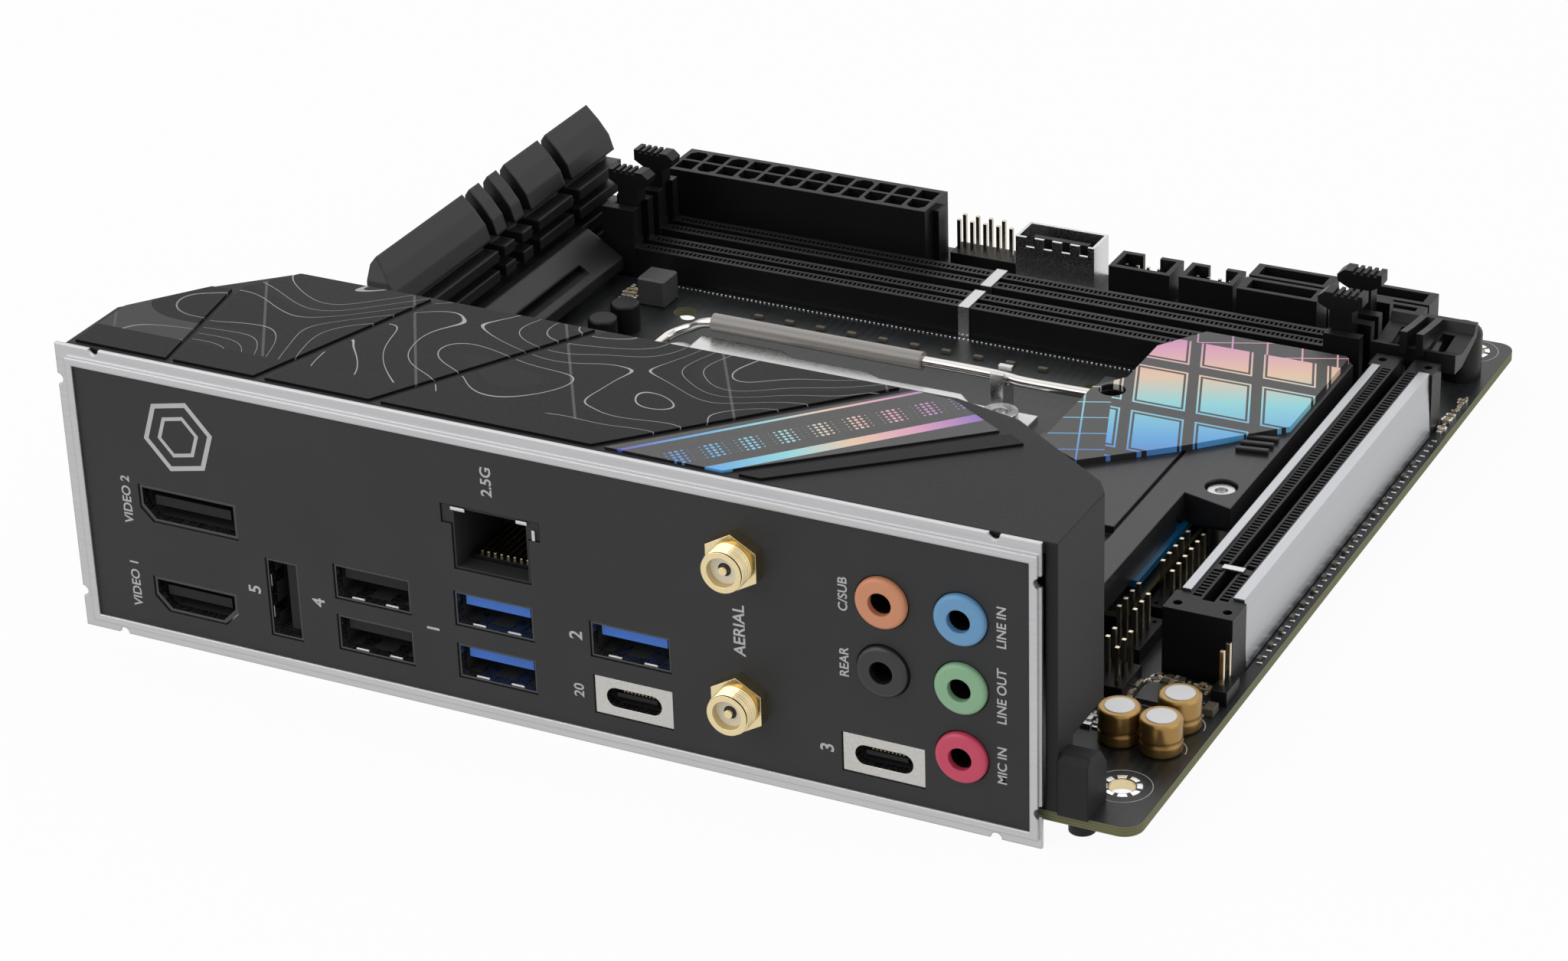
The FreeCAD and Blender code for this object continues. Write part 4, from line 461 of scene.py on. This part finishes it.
finishes = {
    board_finish(): ["circuit_board", "storage_carrier"],
    bright_sheet: ["io_shield_flange"],
    face_black: ["io_face_plate"],
    black_shell: ["io_cover", "cover_clip_post"],
    black_small: ["audio_jack_housing", "port_tongues", "processor_socket", "memory_slots", "graphics_slot",
                  "graphics_latch", "power_sockets", "header_housings", "drive_sockets", "storage_connector",
                  "round_capacitors", "memory_latch_1_left", "memory_latch_1_right", "memory_latch_2_left",
                  "memory_latch_2_right"],
    contour_print("cover_print", (0.46, 0.46, 0.46), (0.012, 0.012, 0.013)): ["cover_panels"],
    contour_print("corner_print", (0.30, 0.30, 0.30), (0.07, 0.07, 0.073), 4.0): ["cover_panel_corner"],
    strip_print(): ["cover_strip_panel"],
    bar_print(): ["storage_cover_plate"],
    port_finish("data_port_shell", 1.0): ["usb_housings", "video_port_housing"],
    port_finish("network_port_shell", 0.0207): ["lan_usb_housing"],
    port_sheet: ["wireless_module", "front_port_shell"],
    blue_moulding: ["usb_blue_tongues"],
    gold: ["gold_contacts", "aerial_nuts", "aerial_sockets"],
    pin_metal: ["connector_pins"],
    pale_core: ["aerial_insulators"],
    anodised: ["side_heatsink", "rear_heatsink"],
    brushed_black: ["storage_heatsink"],
    plated: ["socket_load_frame", "screws", "load_plate", "load_lever", "stiffening_plate", "key_clips",
             "storage_posts"],
    slot_shell: ["graphics_shell"],
    choke_case: ["chokes"],
    chip_case: ["chips"],
    soft_pad: ["thermal_pads"],
    blue_film: ["storage_pad"],
    sleeve_tube: ["lever_sleeve"],
    gold_sleeve: ["audio_capacitors"],
    chip_part: ["small_parts"],
    solder: ["solder_tails"],
}
for word, colour in RINGS.items():
    finishes[ring_finish("jack_ring_" + word, colour)] = ["jack_ring_" + word]
dressed = set()
for material, names in finishes.items():
    for name in names:
        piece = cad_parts[name]
        piece.data.materials.clear()
        piece.data.materials.append(material)
        dressed.add(name)
print("nodes without a finish:", sorted(set(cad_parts) - dressed))

# %% [markdown]
# Contacts, chip parts and solder joints come in rows of tens or hundreds. One mesh holds a
# whole row: the eight corners of a unit box are scaled and moved for every item at once, as
# one array, so no loop runs over the points.

# %% Rows of small blocks
CORNERS = np.array([[x, y, z] for x in (-0.5, 0.5) for y in (-0.5, 0.5) for z in (-0.5, 0.5)])
FACES = np.array([[0, 1, 3, 2], [4, 6, 7, 5], [0, 4, 5, 1], [2, 3, 7, 6], [0, 2, 6, 4], [1, 5, 7, 3]])


def add_mesh(name, points, faces, material, body="board", smooth=False):
    """Points in millimetres above the board's underside become one object riding a body."""
    mesh = bpy.data.meshes.new(name)
    mesh.from_pydata((np.asarray(points) * MM).tolist(), [], np.asarray(faces).tolist()
                     if not isinstance(faces, list) else faces)
    mesh.update()
    if smooth:
        mesh.polygons.foreach_set("use_smooth", [True] * len(mesh.polygons))
    mesh.materials.append(material)
    piece = bpy.data.objects.new(name, mesh)
    bpy.context.scene.collection.objects.link(piece)
    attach(piece, body)
    return piece


def blocks(name, centres, sizes, material, body="board", turns=None):
    """Corner = centre + turned(unit corner times size), for every block at once."""
    centres = np.asarray(centres, float).reshape(-1, 3) + [0, 0, TOP]
    sizes = np.broadcast_to(np.asarray(sizes, float), centres.shape)
    local = CORNERS[None] * sizes[:, None]
    if turns is not None:
        turns = np.broadcast_to(turns, len(centres))
        c, s = np.cos(turns)[:, None], np.sin(turns)[:, None]
        local = np.stack([c * local[..., 0] - s * local[..., 1], s * local[..., 0] + c * local[..., 1],
                          local[..., 2]], -1)
    points = (centres[:, None] + local).reshape(-1, 3)
    faces = (FACES[None] + 8 * np.arange(len(centres))[:, None, None]).reshape(-1, 4)
    return add_mesh(name, points, faces, material, body)


def line_of(first, last, count):
    return np.linspace(first, last, count)


tin = grained("bright_tin", (0.86, 0.86, 0.86), 0.25, metal=1.0, tone=0.05, grain=900, bump=0.2)
pale_gold = grained("contact_gold", (0.80, 0.68, 0.42), 0.3, metal=1.0, tone=0.1, grain=900, bump=0.1)
print("block maker ready")

# %% [markdown]
# Memory slots show two dotted rows each, where the contact tips stand in their comb. The
# graphics slot has the same comb, coarser. The rows stop at the key and at both ends.

# %% Slot contacts
def comb(first, key, last, pitch):
    """Evenly spaced places from first to last that leave out 1.7 mm each side of the key."""
    spots = np.arange(first, last, pitch)
    return spots[np.abs(spots - key) > 1.7]


dimm_x = comb(-65.4, -3.0, 60.4, 0.85)
tips = [np.column_stack([dimm_x, np.full_like(dimm_x, y + side), np.full_like(dimm_x, 4.75)])
        for y in (54.7, 64.1) for side in (-1.9, 1.9)]
blocks("memory_contacts", np.concatenate(tips), (0.34, 0.6, 0.5), pale_gold)
ribs = [np.column_stack([dimm_x + 0.425, np.full_like(dimm_x, y + side), np.full_like(dimm_x, 5.05)])
        for y in (54.7, 64.1) for side in (-1.9, 1.9)]
blocks("memory_combs", np.concatenate(ribs), (0.3, 1.08, 1.15), black_small)
card_y = comb(-37.4, -28.3, 45.2, 1.0)
lanes = [np.column_stack([np.full_like(card_y, 77.25 + side), card_y, np.full_like(card_y, 9.9)])
         for side in (-2.1, 2.1)]
blocks("graphics_contacts", np.concatenate(lanes), (1.1, 0.4, 0.7), pale_gold)
lanes = [np.column_stack([np.full_like(card_y, 77.25 + side), card_y + 0.5, np.full_like(card_y, 10.4)])
         for side in (-2.1, 2.1)]
blocks("graphics_combs", np.concatenate(lanes), (1.4, 0.42, 1.6), black_small)
print("memory contacts", 4 * len(dimm_x), "graphics contacts", 2 * len(card_y))

# %% [markdown]
# Beside the graphics slot a double row of solder legs catches the light, and a dotted line of
# joints runs along the first memory slot. Both are rows of short bright blocks.

# %% Solder legs and joints
leg_y = line_of(-35.0, 45.5, 82)
near = np.column_stack([np.full_like(leg_y, 82.2), leg_y, np.full_like(leg_y, 0.14)])
blocks("slot_legs_near", near, (0.75, 0.42, 0.28), tin, turns=0.25)
far = np.column_stack([np.full_like(leg_y, 83.9), leg_y + 0.5, np.full_like(leg_y, 0.1)])
blocks("slot_legs_far", far[::2], (0.8, 0.35, 0.2), tin)
left = np.column_stack([np.full_like(leg_y, 72.15), leg_y, np.full_like(leg_y, 0.15)])
blocks("slot_legs_left", left, (0.9, 0.42, 0.3), tin)
dot_x = line_of(-65.0, 60.6, 148)
dots = [np.column_stack([dot_x, np.full_like(dot_x, y), np.full_like(dot_x, 0.08)]) for y in (50.4, 68.4)]
blocks("memory_joints", np.concatenate(dots), (0.34, 0.34, 0.2), tin)

# %% [markdown]
# Chip parts are tiny boxes with a bright cap at each end. A seeded scatter over the free
# patches of the board gives each one a place, one of two directions, and one of three sizes.

# %% Chip parts
def chip_scatter(name, patch, count, seed, tone):
    """Bodies on a jittered grid inside the patch (x0, x1, y0, y1), with two end caps each."""
    chance = np.random.default_rng(seed)
    columns = max(1, int(round(math.sqrt(count * (patch[1] - patch[0]) / (patch[3] - patch[2])))))
    rows = max(1, int(math.ceil(count / columns)))
    gx, gy = np.meshgrid((np.arange(columns) + 0.5) / columns, (np.arange(rows) + 0.5) / rows)
    x = patch[0] + gx.ravel() * (patch[1] - patch[0])
    y = patch[2] + gy.ravel() * (patch[3] - patch[2])
    x = x + chance.uniform(-0.2, 0.2, len(x))
    y = y + chance.uniform(-0.2, 0.2, len(x))
    size = chance.choice([0.9, 1.2, 1.6], len(x))
    turned = chance.integers(0, 2, len(x)) * (math.pi / 2)
    flat = np.column_stack([x, y, size * 0.2])
    blocks(name + "_bodies", flat, np.column_stack([size * 0.6, size * 0.5, size * 0.4]), tone, turns=turned)
    step = np.column_stack([np.cos(turned), np.sin(turned), np.zeros_like(x)]) * (size * 0.4)[:, None]
    caps = np.concatenate([flat + step, flat - step])
    shape = np.column_stack([size * 0.2, size * 0.52, size * 0.42])
    blocks(name + "_caps", caps, np.concatenate([shape, shape]), tin, turns=np.concatenate([turned, turned]))
    return len(x)


tan_chip = grained("tan_chip", (0.50, 0.38, 0.22), 0.4, tone=0.3, grain=900, bump=0.1)
dark_chip = grained("dark_chip", (0.05, 0.05, 0.055), 0.4, tone=0.3, grain=900, bump=0.1)
PATCHES = [((70.8, 80.6, -46.8, -44.0), 22, 3, tan_chip), ((66.8, 70.6, -52.6, -46.0), 14, 4, tan_chip),
           ((66.8, 69.6, -62.0, -54.6), 16, 15, tin), ((77.6, 82.6, -53.0, -48.4), 12, 16, dark_chip),
           ((82.9, 84.3, 47.6, 62.0), 14, 5, tan_chip), ((-66.0, -62.4, 41.2, 47.6), 14, 6, tan_chip),
           ((24.0, 32.0, -22.0, 12.0), 34, 8, tan_chip),
           ((-58.6, -53.4, -16.0, 16.0), 26, 9, tan_chip), ((-40.0, 16.0, -33.0, -27.6), 40, 10, tan_chip),
           ((50.0, 64.0, 46.6, 49.6), 18, 11, dark_chip), ((68.6, 71.0, -34.0, 4.0), 44, 12, tan_chip),
           ((62.6, 71.2, -22.0, -13.0), 30, 13, dark_chip), ((-14.0, -6.0, 72.0, 75.6), 8, 14, dark_chip)]
total = sum(chip_scatter("chips_%d" % i, patch, count, seed, tone)
            for i, (patch, count, seed, tone) in enumerate(PATCHES))
print("chip parts", total)

# %% [markdown]
# The flat chip near the gold capacitors has short legs on all four sides, and the storage
# heatsink has a few ribs on the step beside its cover. Both are rows of blocks again.

# %% Chip legs and heatsink ribs
spots = line_of(-2.4, 2.4, 13)
rows = [np.column_stack([74.3 + spots, np.full_like(spots, -49.9 + side), np.full_like(spots, 0.12)]) for side in (-2.95, 2.95)]
blocks("audio_chip_legs_a", np.concatenate(rows), (0.2, 0.5, 0.24), tin)
rows = [np.column_stack([np.full_like(spots, 74.3 + side), -49.9 + spots, np.full_like(spots, 0.12)]) for side in (-2.95, 2.95)]
blocks("audio_chip_legs_b", np.concatenate(rows), (0.5, 0.2, 0.24), tin)
rib_y = np.array([7.6, 9.8, 12.0])
blocks("storage_ribs", np.column_stack([np.full(3, 66.4), rib_y, np.full(3, 12.25)]), (5.2, 0.9, 0.9), anodised, turns=0.16)
groove_x = np.arange(44.0, 60.4, 0.9)
grooves = np.column_stack([groove_x, np.full_like(groove_x, -16.0), np.full_like(groove_x, 10.66)])
blocks("storage_lines", grooves, (0.3, 15.0, 0.16), anodised)
print("chip legs", 4 * len(spots), "ribs", len(rib_y))

# %% [markdown]
# Each mounting hole has a bright ring of eight petals that bites the screw head, and a thin
# printed circle that marks the keep-clear ring. A petal is a piece of a flat ring: radius runs
# one way across its grid and angle the other.

# %% Mounting hole pads
def ring_grid(centre, inner, outer, start, end, high, steps=8):
    """Points at centre + radius times (cos, sin) of the angle; top and bottom layers closed."""
    angle = np.linspace(start, end, steps)
    edge = np.stack([np.cos(angle), np.sin(angle)], -1)
    layers = [np.column_stack([edge * r + centre, np.full(steps, z)])
              for r, z in ((inner, 0.0), (inner, high), (outer, high), (outer, 0.0))]
    points = np.concatenate(layers) + [0, 0, TOP]
    i = np.arange(steps - 1)
    faces = [np.column_stack([a * steps + i, b * steps + i, b * steps + i + 1, a * steps + i + 1])
             for a, b in ((0, 1), (1, 2), (2, 3), (3, 0))]
    whole = abs(end - start) > 2 * math.pi - 0.01
    ends = [] if whole else [[0, 3 * steps, 2 * steps, steps], [steps - 1, 2 * steps - 1, 3 * steps - 1, 4 * steps - 1]]
    return points, [f[::-1] for f in np.concatenate(faces).tolist()] + [f[::-1] for f in ends]


def join(parts):
    points, faces, base = [], [], 0
    for p, f in parts:
        points.append(p)
        faces += [[v + base for v in face] for face in f]
        base += len(p)
    return np.concatenate(points), faces


HOLES = [(78.74, 80.10), (-78.74, 80.10), (78.74, -74.84), (-78.74, -51.98)]
petals = [ring_grid(hole, 2.1, 2.95, k * math.pi / 4 + 0.12, (k + 1) * math.pi / 4 - 0.12, 0.09)
          for hole in HOLES for k in range(8)]
points, faces = join(petals)
add_mesh("hole_petals", points, faces, tin)
paint = grained("white_paint", (0.55, 0.55, 0.55), 0.6, tone=0.15, grain=1500, bump=0.2, edge=0.0)
circles = [ring_grid(hole, 4.3, 4.42, 0, 2 * math.pi, 0.03, 64) for hole in HOLES]
sleeves = [ring_grid(hole, 1.93, 2.03, 0, 2 * math.pi, -1.55, 48) for hole in HOLES]
points, faces = join(sleeves)
add_mesh("hole_sleeves", points, faces, gold)
circles += [ring_grid(spot, 3.6, 3.75, 0, math.pi, 0.03, 32) for spot in ((79.9, -63.2), (79.9, -56.0))]
points, faces = join(circles)
add_mesh("hole_circles", points, faces, paint)
print("petals", len(petals))

# %% [markdown]
# The load lever is bent wire. A smooth tube is carried along a curve through the same places
# as the CAD wire: the curve's points come from a spline, and at each a circle of points is laid
# across the direction of travel. The tube rides the same body, so it swings with the joint.

# %% Load lever
def smooth_path(spots, each=10):
    """Catmull-Rom spline: each span blends four neighbouring spots with cubic weights."""
    p = np.array(spots, float)
    p = np.vstack([2 * p[0] - p[1], p, 2 * p[-1] - p[-2]])
    t = np.linspace(0, 1, each, endpoint=False)[:, None]
    spans = [0.5 * (2 * b + (c - a) * t + (2 * a - 5 * b + 4 * c - d) * t ** 2 + (3 * b - a - 3 * c + d) * t ** 3)
             for a, b, c, d in zip(p, p[1:], p[2:], p[3:])]
    return np.vstack(spans + [p[-2][None]])


def tube(name, path, radius, material, body, sides=16):
    """Circle of radius r in the plane across the path's direction, closed with end caps."""
    way = np.gradient(path, axis=0)
    way = way / np.linalg.norm(way, axis=1)[:, None]
    first = np.cross(way, [0.13, 0.21, 0.97])
    first = first / np.linalg.norm(first, axis=1)[:, None]
    second = np.cross(way, first)
    angle = np.linspace(0, 2 * math.pi, sides, endpoint=False)
    radius = np.broadcast_to(radius, len(path))[:, None, None]
    rings = path[:, None] + radius * (first[:, None] * np.cos(angle)[None, :, None]
                                      + second[:, None] * np.sin(angle)[None, :, None])
    count = len(path)
    i, j = np.meshgrid(np.arange(count - 1), np.arange(sides), indexing="ij")
    k = (j + 1) % sides
    faces = np.stack([i * sides + j, i * sides + k, (i + 1) * sides + k, (i + 1) * sides + j], -1).reshape(-1, 4)
    caps = [list(range(sides))[::-1], list(range((count - 1) * sides, count * sides))]
    return add_mesh(name, rings.reshape(-1, 3), faces.tolist() + caps, material, body, True)


wire = grained("lever_wire", (0.56, 0.54, 0.52), 0.2, metal=1.0, tone=0.06, grain=300, bump=0.05, edge=0.0)
crank = [(-48.0, -13.9, 4.2), (-48.0, 10.0, 4.2), (-48.0, 23.4, 4.2), (-47.2, 26.8, 4.6), (-44.4, 28.2, 5.8),
         (-40.0, 28.2, 7.6), (-30.0, 28.2, 7.8), (-10.0, 28.2, 7.8), (12.0, 28.2, 7.8), (18.0, 28.2, 7.4),
         (25.0, 28.4, 7.3), (32.0, 28.8, 7.2)]
lever = tube("load_lever_wire", smooth_path(crank), 0.9, wire, "lever")
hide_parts("load_lever")
print("lever points", len(lever.data.vertices))

# %% [markdown]
# A look into a data port shows a shiny steel shell with two spring tabs, and four gold
# contact strips on the tongue. They are small blocks set just inside each opening.

# %% Port springs and contacts
FLAT_PORTS = [(-43.3, -29.9, 9.5, 15.5), (-43.3, -29.9, 0.8, 6.9), (-22.4, -8.9, 9.6, 15.5), (-22.4, -8.9, 0.8, 6.7),
              (0.4, 13.8, 9.5, 15.5)]
tabs, strips, backs = [], [], []
for x0, x1, z0, z1 in FLAT_PORTS:
    for share_x in (0.28, 0.72):
        x = x0 + share_x * (x1 - x0)
        tabs += [(x, -84.6, z0 + 0.5), (x, -84.6, z1 - 0.45)]
    strips += [(x0 + (k + 0.5) * (x1 - x0) / 4.0, -82.0, (z0 + z1) / 2 + 0.35) for k in range(4)]
blocks("port_tabs", tabs, (2.2, 3.6, 0.16), plated)
blocks("port_strips", strips, (1.0, 6.0, 0.12), pale_gold)
blocks("upright_tabs", [(-55.0, -84.6, 4.4), (-55.0, -84.6, 9.8)], (0.16, 3.6, 2.0), plated)
for x0, x1, z0, z1 in ((0.6, 13.7, 0.1, 6.6), (40.8, 53.9, 0.1, 6.6)):
    x, z = (x0 + x1) / 2, (z0 + z1) / 2
    blocks("small_port_pads_%d" % round(x), [(x - 2.4 + 0.6 * k, -83.6, z + 0.4) for k in range(9)], (0.3, 3.4, 0.1), pale_gold)
blocks("network_brackets", [(-20.6, -86.9, 29.3), (-9.9, -86.9, 29.3), (-8.0, -86.9, 27.6)],
       [(2.4, 0.5, 0.5), (1.8, 0.5, 0.5), (0.5, 0.5, 1.6)], plated)
print("port tabs", len(tabs), "strips", len(strips))

# %% [markdown]
# Legends beside the ports are plain words and numbers in a plain face. Each text is made a
# mesh first, then its points are placed on the face plate, a twentieth of a millimetre proud.

# %% Legends
legend_ink = grained("legend_ink", (0.50, 0.50, 0.50), 0.5, tone=0.1, grain=900, bump=0.1, edge=0.0)


def legend(name, words, x, z, size, turned):
    """Letters lie in X and Z on the face; a quarter turn runs them upward."""
    curve = bpy.data.curves.new(name, "FONT")
    curve.body = words
    curve.size = size
    curve.align_x = "CENTER"
    curve.align_y = "CENTER"
    curve.extrude = 0.0
    curve.offset = 0.018 * size
    draft = bpy.data.objects.new(name + "_draft", curve)
    bpy.context.scene.collection.objects.link(draft)
    bpy.context.view_layer.update()
    mesh = bpy.data.meshes.new_from_object(draft)
    bpy.data.objects.remove(draft)
    flat = np.empty(len(mesh.vertices) * 3)
    mesh.vertices.foreach_get("co", flat)
    flat = flat.reshape(-1, 3)
    across, rise = (-flat[:, 1], flat[:, 0]) if turned else (flat[:, 0], flat[:, 1])
    placed = np.column_stack([across + x, np.full(len(flat), FACE_Y - 0.03), rise + z + TOP]) * MM
    mesh.vertices.foreach_set("co", placed.ravel())
    mesh.update()
    mesh.materials.clear()
    mesh.materials.append(legend_ink)
    piece = bpy.data.objects.new(name, mesh)
    bpy.context.scene.collection.objects.link(piece)
    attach(piece, "board")
    return piece


FACE_Y = -87.0
LEGENDS = [("LINE IN", 65.8, 28.9, 2.0), ("LINE OUT", 65.8, 18.0, 2.0), ("MIC IN", 65.8, 6.9, 2.0),
           ("REAR", 41.6, 18.0, 2.0), ("C/SUB", 41.6, 28.9, 2.0), ("2.5G", -15.4, 34.8, 2.5), ("1", -26.2, 8.2, 3.0),
           ("2", -1.8, 12.6, 3.0), ("20", -1.8, 3.4, 2.3), ("3", 38.6, 3.4, 3.0), ("4", -46.2, 8.2, 3.0),
           ("5", -57.6, 8.0, 3.0), ("AERIAL", 25.1, 19.4, 2.6), ("VIDEO 2", -79.6, 18.8, 2.2),
           ("VIDEO 1", -79.6, 4.4, 2.2)]
for i, (words, x, z, size) in enumerate(LEGENDS):
    legend("legend_%d" % i, words, x, z, size, True)
hexagon = np.radians(np.arange(6) * 60.0 + 12.0)
for i, (outer, inner) in enumerate(((6.4, 5.5), (3.8, 3.1))):
    loop = np.concatenate([np.column_stack([r * np.cos(hexagon) - 69.0, np.full(6, FACE_Y - 0.03),
                                            r * np.sin(hexagon) + 31.4 + TOP]) for r in (outer, inner)])
    k = np.arange(6)
    quads = np.column_stack([k, k + 6, (k + 1) % 6 + 6, (k + 1) % 6])
    add_mesh("face_motif_%d" % i, loop, quads[:, ::-1], legend_ink)
print("legends", len(LEGENDS))

# %% [markdown]
# The gold capacitors have pale flat tops with a rounded rim. A dome-edged disc is a profile
# turned round the axis: the radius and height are arrays, and the angle spreads them.

# %% Capacitor tops
def turned(name, centre, profile, material, body="board", sides=40):
    """Point = centre + (r cos a, r sin a, h) for each (r, h) of the profile and each angle a."""
    profile = np.array(profile, float)
    angle = np.linspace(0, 2 * math.pi, sides, endpoint=False)
    r, h = profile[:, 0][:, None], profile[:, 1][:, None]
    points = np.stack([centre[0] + r * np.cos(angle), centre[1] + r * np.sin(angle),
                       np.broadcast_to(h + centre[2] + TOP, (len(profile), sides))], -1).reshape(-1, 3)
    i, j = np.meshgrid(np.arange(len(profile) - 1), np.arange(sides), indexing="ij")
    k = (j + 1) % sides
    faces = np.stack([i * sides + j, i * sides + k, (i + 1) * sides + k, (i + 1) * sides + j], -1).reshape(-1, 4)
    last = (len(profile) - 1) * sides
    return add_mesh(name, points, faces.tolist() + [list(range(sides))[::-1], list(range(last, last + sides))],
                    material, body)


pale_top = grained("pale_top", (0.80, 0.80, 0.80), 0.35, metal=0.2, tone=0.05, grain=500, bump=0.1)
for i, (x, y) in enumerate(((73.3, -62.8), (79.9, -63.2), (79.9, -56.0))):
    turned("can_top_%d" % i, (x, y, 5.5), [(2.25, 0.0), (2.25, 0.05), (2.15, 0.09)], pale_top)
print("capacitor tops placed")

# %% [markdown]
# The aerial sockets have a fine outside thread. At this size a thread reads as close rings, so
# the radius follows a triangle wave along the axis. A black ring of painted shade circles each centre pin.

# %% Aerial threads
def around_y(name, x, z, profile, material, sides=48):
    """Point = (x + r cos a, y, z + r sin a) for each (y, r) of a closed profile and each angle a."""
    profile = np.array(profile, float)
    angle = np.linspace(0, 2 * math.pi, sides, endpoint=False)
    y, r = profile[:, 0][:, None], profile[:, 1][:, None]
    points = np.stack([x + r * np.cos(angle), np.broadcast_to(y, (len(profile), sides)),
                       z + TOP + r * np.sin(angle)], -1).reshape(-1, 3)
    i, j = np.meshgrid(np.arange(len(profile)), np.arange(sides), indexing="ij")
    n, k = (i + 1) % len(profile), (j + 1) % sides
    faces = np.stack([i * sides + j, n * sides + j, n * sides + k, i * sides + k], -1).reshape(-1, 4)
    return add_mesh(name, points, faces, material)


steps = np.arange(13)
wave = np.column_stack([-91.7 + 0.225 * steps, np.where(steps % 2, 3.36, 3.12)]).tolist()
wave += [[wave[-1][0], 2.8], [wave[0][0], 2.8]]
for i, (x, z) in enumerate(((25.1, 31.1), (25.1, 8.0))):
    around_y("aerial_thread_%d" % i, x, z, wave, gold)
    # The black ring round the pin is painted shade for the gap between pin and insulator.
    around_y("aerial_gap_shade_%d" % i, x, z, [(-90.86, 0.70), (-90.86, 0.98), (-90.78, 1.04), (-90.78, 0.66)], face_black)
print("aerial threads placed")

# %% [markdown]
# Last comes the floor. It is pale and wide, and looks white to the camera, but part of its
# brightness is real light, so the object's shadow still falls on it.

# %% Floor
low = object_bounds()[0][2]
floor_mesh = bpy.data.meshes.new("floor")
floor_mesh.from_pydata([(-3, -3, low), (3, -3, low), (3, 3, low), (-3, 3, low)], [], [(0, 1, 2, 3)])
floor = bpy.data.objects.new("floor", floor_mesh)
bpy.context.scene.collection.objects.link(floor)
ground = bpy.data.materials.new("pale_floor")
ground.use_nodes = True
nodes, links = ground.node_tree.nodes, ground.node_tree.links
nodes.clear()
rays = nodes.new("ShaderNodeLightPath")
paper = nodes.new("ShaderNodeBsdfDiffuse")
paper.inputs["Color"].default_value = (0.92, 0.92, 0.92, 1.0)
glow = nodes.new("ShaderNodeEmission")
glow.inputs["Color"].default_value = (1.0, 1.0, 1.0, 1.0)
glow.inputs["Strength"].default_value = 1.0
share = nodes.new("ShaderNodeMath")
share.operation = "MULTIPLY"
most = nodes.new("ShaderNodeMath")
most.operation = "MAXIMUM"
links.new(rays.outputs["Is Camera Ray"], most.inputs[0])
links.new(rays.outputs["Is Glossy Ray"], most.inputs[1])
through = nodes.new("ShaderNodeMath")
through.operation = "MAXIMUM"
links.new(most.outputs[0], through.inputs[0])
links.new(rays.outputs["Is Transmission Ray"], through.inputs[1])
links.new(through.outputs[0], share.inputs[0])
share.inputs[1].default_value = 0.95
mixed = nodes.new("ShaderNodeMixShader")
out = nodes.new("ShaderNodeOutputMaterial")
links.new(share.outputs[0], mixed.inputs[0])
links.new(paper.outputs[0], mixed.inputs[1])
links.new(glow.outputs[0], mixed.inputs[2])
links.new(mixed.outputs[0], out.inputs["Surface"])
floor_mesh.materials.append(ground)
print("floor at", round(low * 1000, 2), "mm")
